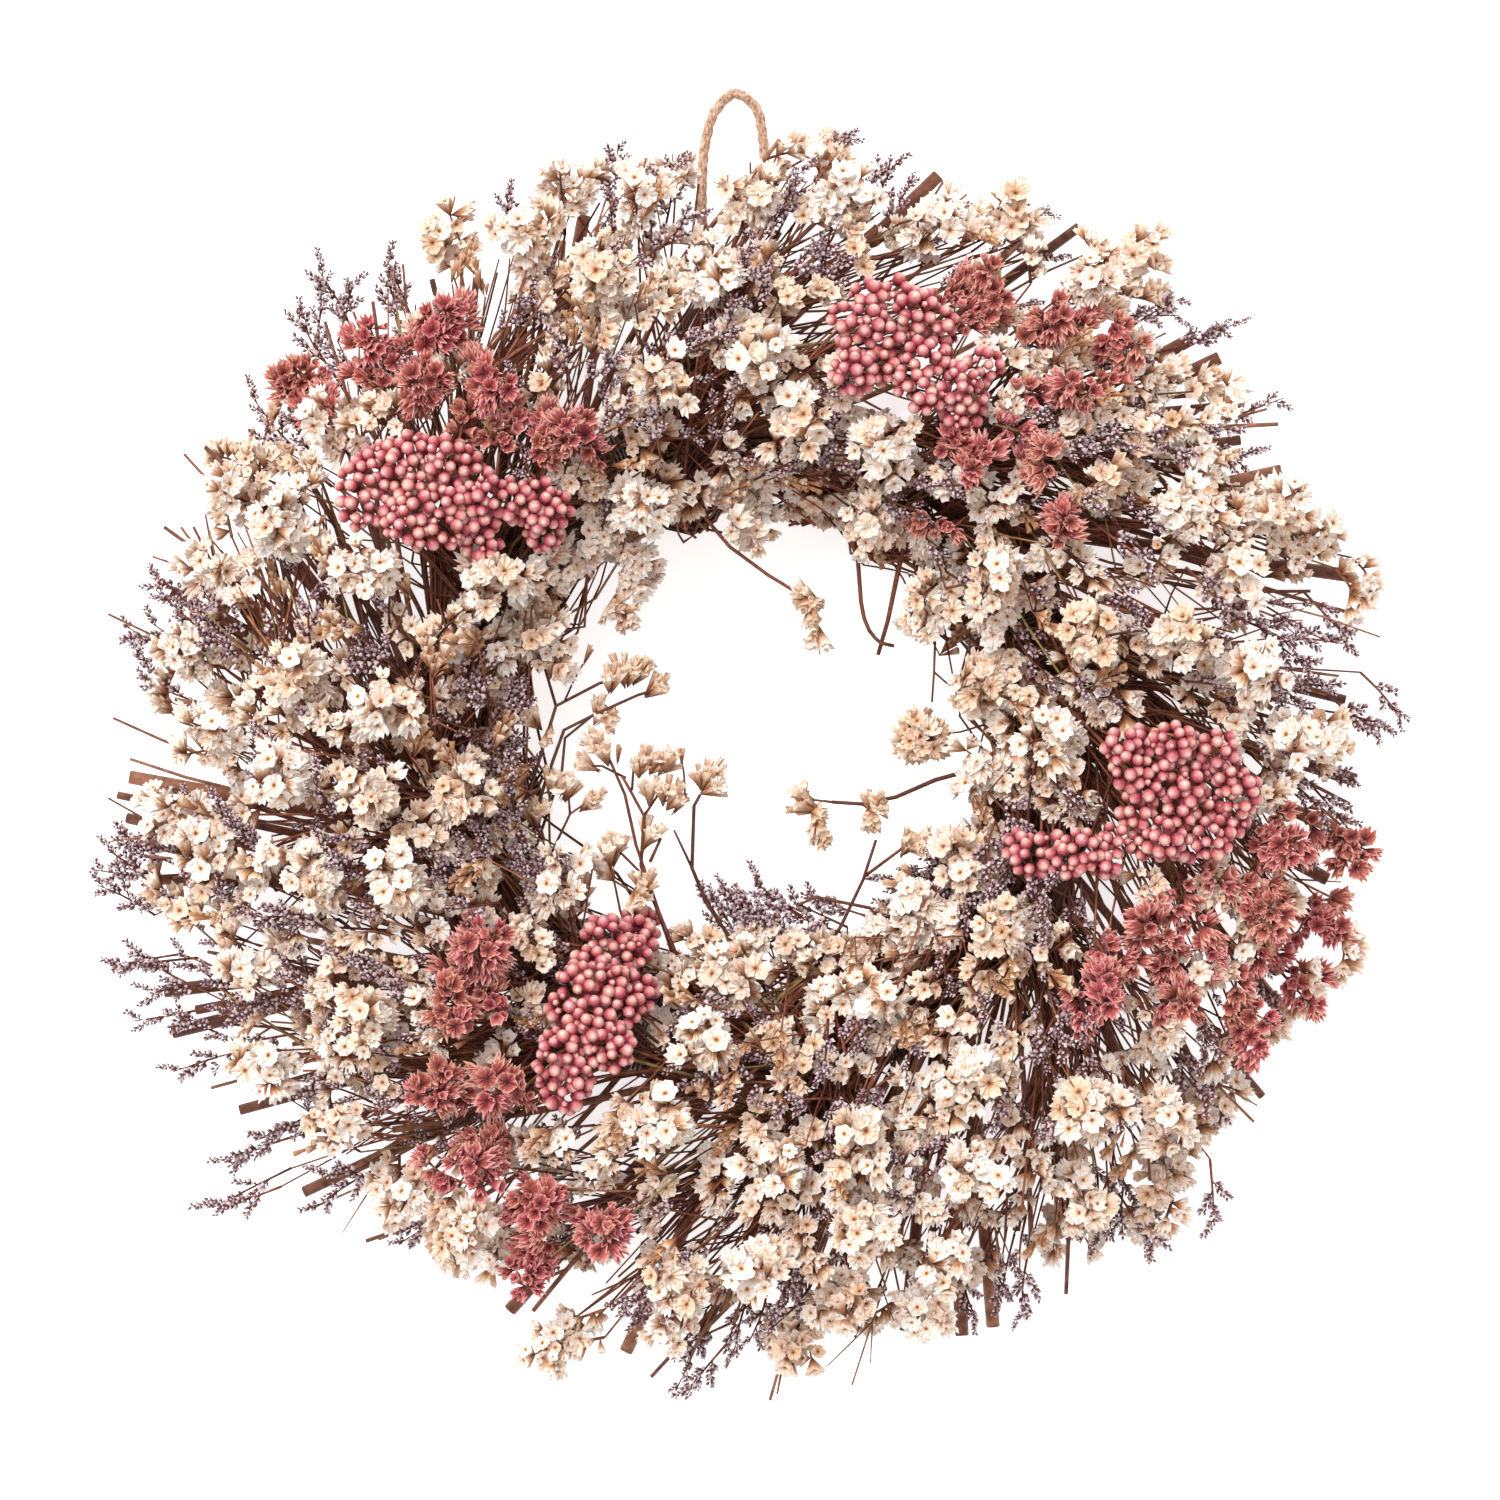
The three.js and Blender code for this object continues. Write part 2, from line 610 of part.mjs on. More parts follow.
// Inside the canopy, towards its middle line.
function within(place, share) {
  const radius = Math.hypot(place.x, place.y);
  const centre = vec((place.x / radius) * CANOPY_RADIUS, (place.y / radius) * CANOPY_RADIUS, CANOPY_HEIGHT);
  return centre.lerp(place, share);
}

const SPINE_RADII = [2.4, 2.6, 2.4, 1.9, 1.6, 1.2];
// A spine's two free places: how far they lean from the middle of the canopy towards the aim.
const SPINE_SHARES = [0.5, 0.62];
const SHORTEST_SPINE = 26;
// Tries for a clear way: how many, when the spine is made slim, and how fast the search widens.
const SPINE_TRIES = 900;
const SLIM_AFTER = 300;
const SLIM = 0.6;
const SPINE_WIDENING = 0.3;
const WIDEST_SPINE = 36;
// A branch leaves its spine at one of these stations, further back the longer it is.
const SPINE_STATIONS = 20;
const BRANCH_SLOPE = 0.012;
const BRANCH_TRIES = 160;
const STRAIGHT_TRIES = 12;
const BRANCH_SPREAD = 0.02;
const WIDEST_BRANCH = 0.6;
const FIRST_BEND = 4;
const BRANCH_WIDENING = 0.16;

function spineOf(bunch, wobble) {
  const start = bindingDegrees(bunch.binding);
  const places = HANDLE_LENGTH.map((turn, i) => onRing(start + turn, bunch.lane, HANDLE_DISTANCE[i]));
  const sweeps = bunch.heads.map((head) => turnBetween(start, degreesOf(head.place)));
  const far = Math.max(SHORTEST_SPINE, Math.max(...sweeps) - WHITE_SWEEP[0]);
  const aimAt = (sweep, share, [out, up]) => {
    const place = within(bunch.aim, share);
    const radius = Math.hypot(place.x, place.y) + out;
    const turn = radians(start - sweep);
    return vec(Math.cos(turn) * radius, Math.sin(turn) * radius, place.z + up);
  };
  places.push(aimAt((far - HANDLE_LENGTH[2]) / 2, SPINE_SHARES[0], wobble.slice(0, 2)));
  places.push(aimAt(far + wobble[4], SPINE_SHARES[1], wobble.slice(2, 4)));
  const curve = new THREE.CatmullRomCurve3(places, false, 'centripetal');
  return [places[0], places[1], places[2], curve.getPoint(0.65), places[3], places[4]];
}

const drawWay = seeded(SEED + 2);
bunches.forEach((bunch) => {
  for (let tries = 0; tries < SPINE_TRIES && !bunch.spine; tries += 1) {
    const reach = Math.min(WIDEST_SPINE, tries * SPINE_WIDENING);
    const wobble = Array.from({ length: 5 }, () => (drawWay() - 0.5) * reach);
    const spine = spineOf(bunch, wobble);
    bunch.slim = tries < SLIM_AFTER ? 1 : SLIM;
    const clear = [2, 3, 4].every((i) => (
      pathIsClear(bunch.name, spine.slice(i, i + 2), SPINE_RADII[i] * (i > 2 ? bunch.slim : 1))));
    if (clear) bunch.spine = spine;
  }
  if (!bunch.spine) return;
  bunch.spine.slice(3).forEach((place, i) => take(bunch.name, bunch.spine[i + 2], place, SPINE_RADII[2]));
});

function alongSpine(spine, share) {
  const position = share * (spine.length - 3) + 2;
  const first = Math.min(spine.length - 2, Math.floor(position));
  return spine[first].clone().lerp(spine[first + 1], position - first);
}

// A way from the bunch's main stem to a head, bent clear of everything else.
function branchTo(bunch, foot) {
  let nearest = 0;
  for (let step = 0; step <= SPINE_STATIONS; step += 1) {
    const share = step / SPINE_STATIONS;
    const here = alongSpine(bunch.spine, share).distanceTo(foot);
    if (here < alongSpine(bunch.spine, nearest).distanceTo(foot)) nearest = share;
  }
  const back = nearest - BRANCH_SLOPE * alongSpine(bunch.spine, nearest).distanceTo(foot);
  const middle = vec(0, 0, 0);
  for (let tries = 0; tries < BRANCH_TRIES; tries += 1) {
    const spread = Math.min(WIDEST_BRANCH, tries * BRANCH_SPREAD);
    const share = Math.min(1, Math.max(0, back + (drawWay() - 0.5) * spread));
    const root = alongSpine(bunch.spine, share);
    if (tries < STRAIGHT_TRIES) {
      if (pathIsClear(bunch.name, [root, foot], STEM_RADIUS)) return [root];
      continue;
    }
    const reach = FIRST_BEND + tries * BRANCH_WIDENING;
    middle.set(drawWay() - 0.5, drawWay() - 0.5, drawWay() - 0.5).multiplyScalar(reach);
    middle.add(root.clone().lerp(foot, 0.5));
    if (pathIsClear(bunch.name, [root, middle, foot], STEM_RADIUS)) return [root, middle.clone()];
  }
  return null;
}

const drawTurn = seeded(SEED + 3);
bunches.forEach((bunch) => {
  if (!bunch.spine) return;
  bunch.heads.forEach((head) => {
    const spin = drawTurn() * 2 * Math.PI;
    const path = branchTo(bunch, head.foot);
    if (!path) return;
    const way = [...path, head.foot];
    way.slice(1).forEach((place, i) => take(bunch.name, way[i], place, STEM_RADIUS));
    Object.assign(head, { path, spin });
  });
});

function bunchSolid(bunch) {
  const sides = bunch.kind === 'caspia' ? 3 : 4;
  const radii = SPINE_RADII.map((radius, i) => radius * (i > 2 ? bunch.slim : 1));
  let body = stem(bunch.spine, radii, sides);
  bunch.heads.forEach((head) => {
    if (!head.path) return;
    if (bunch.kind === 'caspia') {
      body = body.add(caspiaSpike(head.path, head.foot, head.place));
    } else {
      const buds = bunch.kind === 'rice_flower';
      const radius = buds ? head.radius * BUD_CORE : head.radius;
      body = body.add(domedHead(head.place, head.up, radius, head.path, head.spin, buds));
    }
  });
  return body;
}

// The ring: a twisted bundle, drawn in at each binding and flat where it rests.
function ringSolid() {
  const geometry = new THREE.TorusGeometry(RING_RADIUS, RING_TUBE, RING_SIDES, RING_STEPS);
  geometry.rotateZ(radians(FIRST_BINDING));
  const position = geometry.attributes.position;
  for (let i = 0; i < position.count; i += 1) {
    const around = Math.atan2(position.getY(i), position.getX(i));
    const radius = Math.hypot(position.getX(i), position.getY(i));
    const lean = Math.atan2(position.getZ(i), radius - RING_RADIUS) + Math.PI / RING_SIDES;
    let pinch = 0;
    for (let binding = 0; binding < BINDINGS; binding += 1) {
      const away = turnBetween(THREE.MathUtils.radToDeg(around), bindingDegrees(binding)) / PINCH_DEGREES;
      pinch = Math.max(pinch, Math.exp(-away * away));
    }
    const tieAway = turnBetween(THREE.MathUtils.radToDeg(around), TIE_DEGREES) / PINCH_DEGREES;
    const tied = Math.exp(-tieAway * tieAway);
    const rib = RING_RIB * (1 - Math.max(pinch, tied)) * Math.cos(RING_RIBS * lean + RING_TWISTS * around);
    const place = onRing(THREE.MathUtils.radToDeg(around), THREE.MathUtils.radToDeg(lean),
      RING_TUBE * (1 + rib) - PINCH_DEPTH * pinch - TIE_PINCH * tied);
    position.setXYZ(i, place.x, place.y, Math.max(0, place.z));
  }
  let body = solidOf(geometry);
  cutStems.forEach((path) => {
    body = body.add(stem(path, [CUT_STEM_RADIUS, CUT_STEM_RADIUS * CUT_TAPER], CUT_SIDES));
  });
  return body;
}

// The wire's places over the handles, past the outermost two, and then below the ring, in degrees.
const WIRE_SLACK = 0.5;
const WIRE_GAP = 0.2;
const WIRE_SHOULDERS = [-22, 196];
const WIRE_BELOW = [210, 240, 270, 300, 330];
function wirePath(binding) {
  const over = RING_TUBE - PINCH_DEPTH + 2 * CLEARANCE + 2 * HANDLE_RADIUS + WIRE_RADIUS + WIRE_SLACK;
  const under = RING_TUBE - PINCH_DEPTH + CLEARANCE + WIRE_RADIUS + WIRE_GAP;
  const turns = [
    [WIRE_SHOULDERS[0], over - WIRE_SLACK],
    ...LANES.map((lean) => [lean, over]),
    [WIRE_SHOULDERS[1], over - WIRE_SLACK],
    ...WIRE_BELOW.map((lean) => [lean, under]),
  ];
  return turns.map(([lean, distance]) => onRing(bindingDegrees(binding), lean, distance));
}

const group = new THREE.Group();
group.position.set(-CENTRING[0], -CENTRING[1], 0);

function addPart(name, geometry, [color, roughness], metalness = 0) {
  const mesh = new THREE.Mesh(geometry, new THREE.MeshStandardMaterial({ color, roughness, metalness }));
  mesh.name = name;
  group.add(mesh);
}

addPart('stem_ring', geometryOf(ringSolid()), COLOURS.stem);
for (let binding = 0; binding < BINDINGS; binding += 1) {
  const name = `binding_wire_${String(binding + 1).padStart(2, '0')}`;
  addPart(name, geometryOf(band(wirePath(binding), WIRE_RADIUS, 3)), COLOURS.wire, 0.8);
}
const KIND_COLOURS = {
  pink_statice: COLOURS.pink,
  rice_flower: COLOURS.rice,
  caspia: COLOURS.caspia,
  white_statice: COLOURS.white,
};
bunches.forEach((bunch) => {
  if (bunch.spine) addPart(bunch.name, geometryOf(bunchSolid(bunch)), KIND_COLOURS[bunch.kind]);
});

// Two turns of twine round the ring, with a knot that the loop grows from.
function tieSolid() {
  const inner = RING_TUBE - TIE_PINCH + TIE_SLACK + CLEARANCE + TWINE_RADIUS;
  let body = null;
  [-1, 1].forEach((side) => {
    const turns = Array.from({ length: TIE_CORNERS }, (_, i) => {
      const place = onRing(TIE_DEGREES + side * TIE_SPREAD, (i * 360) / TIE_CORNERS, inner);
      place.z = Math.max(place.z, TWINE_RADIUS + CLEARANCE);
      return place;
    });
    const turn = band(turns, TWINE_RADIUS, 4);
    body = body ? body.add(turn) : turn;
  });
  const knot = new THREE.IcosahedronGeometry(1, 0);
  knot.scale(...KNOT_SIZE);
  knot.translate(...KNOT);
  return body.add(solidOf(knot));
}
addPart('twine_tie', geometryOf(tieSolid()), COLOURS.twine);

// The loop of twine.
const loopShape = new THREE.Shape(Array.from({ length: LOOP_SIDES }, (_, i) => {
  const angle = ((i + 0.5) * 2 * Math.PI) / LOOP_SIDES;
  return new THREE.Vector2(Math.cos(angle) * TWINE_RADIUS, Math.sin(angle) * TWINE_RADIUS);
}));
const loopGeometry = new THREE.ExtrudeGeometry(loopShape, {
  steps: LOOP_STEPS,
  bevelEnabled: false,
  extrudePath: new THREE.CatmullRomCurve3(loopPlaces),
});
addPart('hanging_loop', loopGeometry, COLOURS.twine);

export default group;
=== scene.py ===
"""Dried flower wreath, lying flat on its back on a pale floor.

The bunches are laid out by the same rule and the same values as the solids, in millimetres, so
every head of flowers sits where its solid is. Each head is built up of papery florets, round buds
or tiny florets on thin stems, and turned into metres as it is added to its piece.
"""
import random
from functools import cache
from math import atan2, cos, degrees, exp, hypot, pi, radians, sin, sqrt, tau
from types import SimpleNamespace
import bmesh
import bpy
import numpy as np
from numpy.linalg import norm
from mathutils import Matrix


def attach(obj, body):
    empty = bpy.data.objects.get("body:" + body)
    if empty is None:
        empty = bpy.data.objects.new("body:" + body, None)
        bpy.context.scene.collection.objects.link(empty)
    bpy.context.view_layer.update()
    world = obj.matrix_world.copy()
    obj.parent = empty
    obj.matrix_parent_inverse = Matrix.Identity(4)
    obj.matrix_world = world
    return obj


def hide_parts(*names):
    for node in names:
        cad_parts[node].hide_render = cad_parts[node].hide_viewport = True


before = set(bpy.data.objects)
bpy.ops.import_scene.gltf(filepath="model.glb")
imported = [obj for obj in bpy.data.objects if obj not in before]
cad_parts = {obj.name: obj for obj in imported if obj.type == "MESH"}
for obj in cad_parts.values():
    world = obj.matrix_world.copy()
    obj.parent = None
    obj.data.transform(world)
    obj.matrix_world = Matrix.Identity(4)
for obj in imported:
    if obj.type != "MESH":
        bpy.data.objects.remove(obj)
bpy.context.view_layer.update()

# The layout shared with the solids, in millimetres, degrees and the photograph's pixels.
MM = 0.001
WORD = 0xFFFFFFFF
PHOTO_SIDE = 1500
MM_PER_PIXEL = 0.29
CENTRE_PIXEL = (752, 745)
EYE_HEIGHT = 1400
SCALE_HEIGHT = 45
CENTRING = np.array((-2.75, -4.97, 0.0))

RING_RADIUS = 87
RING_TUBE = 14
RING_HEIGHT = 11.8
RING_RIB = 0.07
PINCH_DEPTH = 4.4
PINCH_DEGREES = 5

BINDINGS = 8
FIRST_BINDING = 25
BINDING_ROOM = 4
LANES = (-8, 30, 68, 106, 144, 182)
HANDLE_RADIUS = 2.6
WIRE_RADIUS = 0.6
CLEARANCE = 0.3
HANDLE_LENGTH = (9, 0, -11)
HANDLE_DISTANCE = (RING_TUBE + 4.6, RING_TUBE - PINCH_DEPTH + CLEARANCE + HANDLE_RADIUS + 0.4,
                   RING_TUBE + 6.5)

CANOPY_RADIUS = 108
CANOPY_HEIGHT = 28
CANOPY_OUTWARD = 62
CANOPY_INWARD = 42
CANOPY_RISE = 50

HEAD_RADIUS = 12.2
PINK_RADIUS = 10
LOBE_RADIUS = 7.8
CASPIA_RADIUS = 3.4
SPIKE_LENGTH = 24
SPIKE_RADIUS = 2.9
NECK_SHARE = 0.85
NECK_RADIUS = 0.45
HEAD_GAP = 0.5
COLOURED_GAP = 0.8
HEAD_SPACING = 25.2
BUNCH_SPACING = 23.6
THROWS = 5000
SEED = 20

TWINE_RADIUS = 1.6
TIE_DEGREES = 92.5
TIE_ROOM = 7
TIE_PINCH = 6
TIE_CORNERS = 12
KNOT = (-7.1, 101.3, 9)
CUT_STEM_RADIUS = 2.2
CUT_STEM_SWEEPS = range(14, 40, 2)
CUT_STEM_ROOT = (10, 6)
CUT_END_HEIGHT = (9, 16)  # least and spread

LOOP_ROUTE = (
    (-10.3, 104.2, 8.6), (-11.5, 112, 4.5), (-12.5, 120, 1.7), (-13.4, 130, 1.7), (-14.2, 142, 1.7),
    (-14.8, 155, 1.7), (-15, 168, 1.7), (-14, 180, 1.7), (-10.8, 190, 1.7), (-5, 195, 1.7),
    (0.6, 191.5, 1.7), (3.2, 182, 1.7), (3.4, 170, 1.7), (2.4, 157, 1.7), (1, 143, 1.7), (-0.6, 130, 1.7),
    (-2, 120, 1.7), (-3, 112, 4.5), (-3.9, 104.2, 8.6),
)
CUT_ENDS = (
    (130, 777), (127, 818), (172, 592), (226, 471), (584, 216), (1079, 227), (1195, 337), (1219, 358),
    (938, 176), (1281, 471), (1351, 576), (1355, 780), (1335, 828), (1327, 879), (1291, 1023),
    (1262, 1096), (962, 1335), (993, 1326), (510, 1310), (626, 1351), (848, 1259), (173, 1032),
    (165, 991),
)
PINK = (
    (3, ((300, 385), (372, 345), (440, 326), (425, 388), (492, 392), (560, 436))),
    (2, ((984, 284), (972, 456))),
    (1, ((1052, 322), (1120, 346), (1074, 396), (1046, 462), (1066, 520))),
    (0, ((1276, 846), (1345, 842), (1258, 912), (1325, 918))),
    (0, ((1150, 924), (1106, 985), (1182, 998), (1249, 1025), (1300, 985))),
    (5, ((478, 950), (452, 1010), (440, 1088), (500, 1084))),
    (6, ((480, 1160), (540, 1200), (604, 1230), (530, 1272))),
)
RICE = (
    (3, ((358, 494), (400, 460), (446, 458), (486, 496), (542, 512))),
    (2, ((853, 372), (868, 322), (916, 312), (926, 360), (958, 386))),
    (0, ((1132, 770), (1172, 742), (1218, 750), (1238, 796), (1212, 838), (1164, 838), (1184, 790),
         (1082, 850), (1030, 858))),
    (6, ((634, 942), (608, 986), (586, 1030), (570, 1080), (612, 1048))),
)
CASPIA = (
    (2, ((797, 172), (844, 140), (895, 165), (825, 248))),
    (3, ((618, 150), (672, 160), (506, 197), (530, 290))),
    (3, ((321, 275), (388, 262), (255, 400), (300, 318))),
    (4, ((156, 580), (130, 628), (150, 680), (210, 600))),
    (4, ((124, 837), (100, 870), (140, 905), (190, 880))),
    (4, ((470, 690), (505, 745), (505, 815), (470, 860))),
    (5, ((117, 965), (140, 1020), (180, 1070), (225, 1015))),
    (5, ((261, 1138), (219, 1205), (320, 1205), (404, 1240))),
    (6, ((640, 1320), (678, 1385), (735, 1350), (787, 1300))),
    (7, ((1109, 1215), (1150, 1243), (1001, 1297), (1208, 1100))),
    (0, ((1297, 620), (1348, 645), (1385, 725), (1350, 780))),
    (1, ((1179, 300), (1231, 326), (1278, 400), (1225, 430))),
)
WHITE_AT_BINDING = (2, 4, 3, 2, 3, 3, 3, 5)
WHITE_SPREAD = {2: (52, 128), 3: (25, 88, 150), 4: (15, 60, 105, 155), 5: (10, 45, 80, 115, 155)}
WHITE_SWEEP = 31
WHITE_REACH = (6, 60)
WHITE_LEAN = (-14, 206)  # least and spread
WHITE_DEPTH = (0.9, 0.14)  # least and spread
WHITE_SPOTS = (
    (628, 668), (535, 722), (600, 738), (690, 752), (545, 790), (612, 837), (548, 879), (643, 880),
    (806, 612), (921, 735), (819, 815), (878, 815), (930, 850), (660, 540), (575, 162), (1310, 540),
    (1375, 582), (1345, 975), (148, 690), (160, 905), (213, 470), (560, 1345), (800, 1340), (860, 1322),
    (970, 1290), (1165, 1225), (1225, 400), (1134, 258), (1000, 215),
)
SPARSE_PINK = ("pink_statice_02", "pink_statice_03", "pink_statice_04", "pink_statice_05")
FADED_PINK = SPARSE_PINK[:2]
SPINE_LEAST = 26
SPINE_SHORT_OF_HEADS = 6
SPINE_START = 11
SPINE_DEPTHS = (0.5, 0.62)

# Round spots in the photograph, as pixels with a radius: bare, thinly covered and faded ones.
BARE = (
    (720, 455, 52), (800, 1060, 66), (975, 985, 34), (1095, 820, 30), (1045, 630, 40), (530, 590, 40),
    (490, 850, 36),
)
OPEN_GROUND = (
    (650, 1060, 45), (720, 1092, 50), (860, 1095, 36), (560, 1125, 28), (380, 870, 42), (300, 832, 28),
    (250, 800, 26), (430, 560, 30), (640, 330, 34), (700, 250, 30), (1180, 470, 30), (1240, 690, 26),
    (371, 569, 28), (327, 713, 28), (471, 735, 34), (477, 795, 30), (299, 880, 30), (188, 574, 24),
    (170, 790, 24), (861, 1209, 24), (911, 1230, 26), (750, 1245, 22), (690, 1230, 20), (1290, 645, 26),
    (1130, 560, 24), (420, 640, 24),
)
FADED = (
    (1020, 640, 75), (1000, 500, 45), (375, 1075, 50), (840, 480, 40), (1010, 870, 45), (600, 1010, 50),
)
# The free view of the loop (left, top, right, bottom) and the open middle (centre, half sizes).
LOOP_WINDOW = (688, 80, 774, 180)
OPEN_MIDDLE = (748, 738, 215, 190)
# Distances from the axis, in millimetres.
INNER_EDGE = 70
RIM = 146


def vec(x, y, z):
    return np.array((x, y, z), float)


UP = vec(0, 0, 1)


def unit(v):
    return v / (norm(v) or 1.0)


def away(places, place):
    """How far each of the places is from the one."""
    return norm(places - place, axis=1)


def radius_of(place):
    """How far a place is from the wreath's axis."""
    return hypot(place[0], place[1])


def degrees_of(place):
    return degrees(atan2(place[1], place[0]))


def turn_between(start, end):
    return (start - end + 540) % 360 - 180


def round_axis(around, radius, height):
    turn = radians(around)
    return vec(cos(turn) * radius, sin(turn) * radius, height)


def lifted(place, least):
    """The place, at least this high above the floor."""
    place[2] = max(place[2], least)
    return place


def seeded(seed):
    """A repeatable draw between 0 and 1, the same as the solids' own."""
    state = seed & WORD

    def draw():
        nonlocal state
        state = (state + 0x6D2B79F5) & WORD
        t = ((state ^ (state >> 15)) * (1 | state)) & WORD
        t = ((t + (((t ^ (t >> 7)) * (61 | t)) & WORD)) & WORD) ^ t
        return ((t ^ (t >> 14)) & WORD) / 4294967296

    return draw


def scale_at(height):
    """Millimetres to a pixel, at one height."""
    return MM_PER_PIXEL * (EYE_HEIGHT - height) / (EYE_HEIGHT - SCALE_HEIGHT)


def seen_at(pixel, height):
    """The place at one height that the camera sees at a pixel."""
    scale = scale_at(height)
    return vec((pixel[0] - CENTRE_PIXEL[0]) * scale, (CENTRE_PIXEL[1] - pixel[1]) * scale, height)


def pixel_of(place):
    """The pixel where the camera sees a place."""
    scale = scale_at(place[2])
    return CENTRE_PIXEL[0] + place[0] / scale, CENTRE_PIXEL[1] - place[1] / scale


def is_near(place, spots):
    """Whether the camera sees a place in one of the round spots."""
    px, py = pixel_of(place)
    return any(hypot(px - x, py - y) < size for x, y, size in spots)


def over_loop(place):
    """Whether a flower here would hide the hanging loop."""
    left, top, right, bottom = LOOP_WINDOW
    px, py = pixel_of(place)
    return left < px < right and top < py < bottom


def is_inside(place):
    """Whether a head hangs in the open middle, where single sprigs take its place."""
    x, y, wide, high = OPEN_MIDDLE
    px, py = pixel_of(place)
    return hypot((px - x) / wide, (py - y) / high) < 1


def canopy_reach(side):
    return CANOPY_OUTWARD if side > 0 else CANOPY_INWARD


def on_canopy(pixel, depth=1.0):
    """The place on the canopy of flowers that the camera sees at a pixel."""
    place = seen_at(pixel, CANOPY_HEIGHT + CANOPY_RISE)
    for _ in range(3):
        out = radius_of(place) - CANOPY_RADIUS
        share = out / canopy_reach(out)
        rise = sqrt(max(0.0, 1 - share * share))
        place = seen_at(pixel, CANOPY_HEIGHT + CANOPY_RISE * rise * depth)
    return place


def in_canopy(around, lean, depth=1.0):
    """A place given round the wreath, round the canopy's section, and by depth."""
    side, rise = cos(radians(lean)), sin(radians(lean))
    return round_axis(around, CANOPY_RADIUS + canopy_reach(side) * side * depth,
                      CANOPY_HEIGHT + CANOPY_RISE * rise * depth)


def on_ring(around, lean, distance):
    """A place given round the wreath, round the ring's tube, and by distance from its middle."""
    side, rise = cos(radians(lean)), sin(radians(lean))
    return round_axis(around, RING_RADIUS + side * distance, RING_HEIGHT + rise * distance)


def facing(place):
    """The way a flower faces: out of the canopy, and a little clockwise."""
    radius = radius_of(place)
    out = (radius - CANOPY_RADIUS) / canopy_reach(radius - CANOPY_RADIUS)
    up = (place[2] - CANOPY_HEIGHT) / CANOPY_RISE
    outward = vec(place[0] / radius, place[1] / radius, 0)
    clockwise = vec(outward[1], -outward[0], 0)
    return unit(unit(outward * out + vec(0, 0, max(up, 0.25) + 0.2)) + clockwise * 0.25)


def gaps(a, b, c, d):
    """How far the straight piece a-b is from each of the straight pieces c-d."""
    u, v, w = b - a, d - c, a - c
    uu, uv, vv = u @ u, v @ u, (v * v).sum(1)
    uw, vw = w @ u, (v * w).sum(1)
    det = uu * vv - uv * uv
    crossing, long = det > 1e-9, vv > 1e-9
    safe = np.where(long, vv, 1)
    s = np.where(crossing, np.clip((uv * vw - vv * uw) / np.where(crossing, det, 1), 0, 1), 0)
    t = np.where(long, np.clip((uv * s + vw) / safe, 0, 1), 0)
    s = np.clip((uv * t - uw) / uu, 0, 1) if uu > 1e-9 else np.zeros(len(c))
    t = np.where(long, np.clip((uv * s + vw) / safe, 0, 1), 0)
    return norm(w + s[:, None] * u - t[:, None] * v, axis=1)


def ring_gap(place):
    away = hypot(radius_of(place) - RING_RADIUS, place[2] - RING_HEIGHT)
    return away - RING_TUBE * (1 + RING_RIB)


def binding_degrees(binding):
    return FIRST_BINDING + binding * 360 / BINDINGS


# The bunches, with their heads where the photograph shows them. Taken holds the straight pieces
# with round ends that already have their place: from, to and radius.
bunches = []
taken = []


def taken_now():
    starts, ends, radii = zip(*taken)
    return np.array(starts), np.array(ends), np.array(radii)


def add_bunch(kind, binding, heads, aim):
    number = sum(bunch.kind == kind for bunch in bunches) + 1
    bunches.append(SimpleNamespace(
        kind=kind, name=f"{kind}_{number:02d}", binding=binding, heads=heads, aim=aim))


for kind, rows, radius in (("pink_statice", PINK, PINK_RADIUS), ("rice_flower", RICE, LOBE_RADIUS),
                           ("caspia", CASPIA, CASPIA_RADIUS)):
    for binding, spots in rows:
        heads = [SimpleNamespace(place=on_canopy(spot), radius=radius) for spot in spots]
        free = [head for head in heads if all(
            norm(near.place - head.place) > near.radius + head.radius + HEAD_GAP
            for other in bunches for near in other.heads)]
        add_bunch(kind, binding, free, sum(head.place for head in free) / len(free))
for binding, count in enumerate(WHITE_AT_BINDING):
    for lean in WHITE_SPREAD[count]:
        add_bunch("white_statice", binding, [], in_canopy(binding_degrees(binding) - WHITE_SWEEP, lean))
whites = [bunch for bunch in bunches if bunch.kind == "white_statice"]
others = [bunch for bunch in bunches if bunch.kind != "white_statice"]


def handle_places(binding, lane):
    return [on_ring(binding_degrees(binding) + turn, lane, distance)
            for turn, distance in zip(HANDLE_LENGTH, HANDLE_DISTANCE)]


for binding in range(BINDINGS):
    for lane in LANES:
        start, middle, end = handle_places(binding, lane)
        taken += [(start, middle, HANDLE_RADIUS), (middle, end, HANDLE_RADIUS)]


def find_cut_stems():
    """The thick cut stems slope out of the ring, past the handles and the ties."""
    draw = seeded(SEED)
    starts, ends, radii = taken_now()
    ties = [(binding_degrees(binding), BINDING_ROOM) for binding in range(BINDINGS)]
    ties.append((TIE_DEGREES, TIE_ROOM))
    found = []
    for spot in CUT_ENDS:
        end = seen_at(spot, CUT_END_HEIGHT[0] + CUT_END_HEIGHT[1] * draw())
        for sweep in CUT_STEM_SWEEPS:
            root = on_ring(degrees_of(end) + sweep, *CUT_STEM_ROOT)
            if not (gaps(root, end, starts, ends) > radii + CUT_STEM_RADIUS + CLEARANCE).all():
                continue
            mouth = root + (end - root) * (RING_TUBE + 2) / norm(end - root)
            if all(abs(turn_between(degrees_of(place), tie)) > room
                   for place in (root, mouth) for tie, room in ties):
                found.append((root, end))
                break
    return found


cut_stems = find_cut_stems()
taken += [(root, end, CUT_STEM_RADIUS) for root, end in cut_stems]
loop_places = np.array(LOOP_ROUTE, float)
taken += [(start, end, TWINE_RADIUS) for start, end in zip(loop_places, loop_places[1:])]


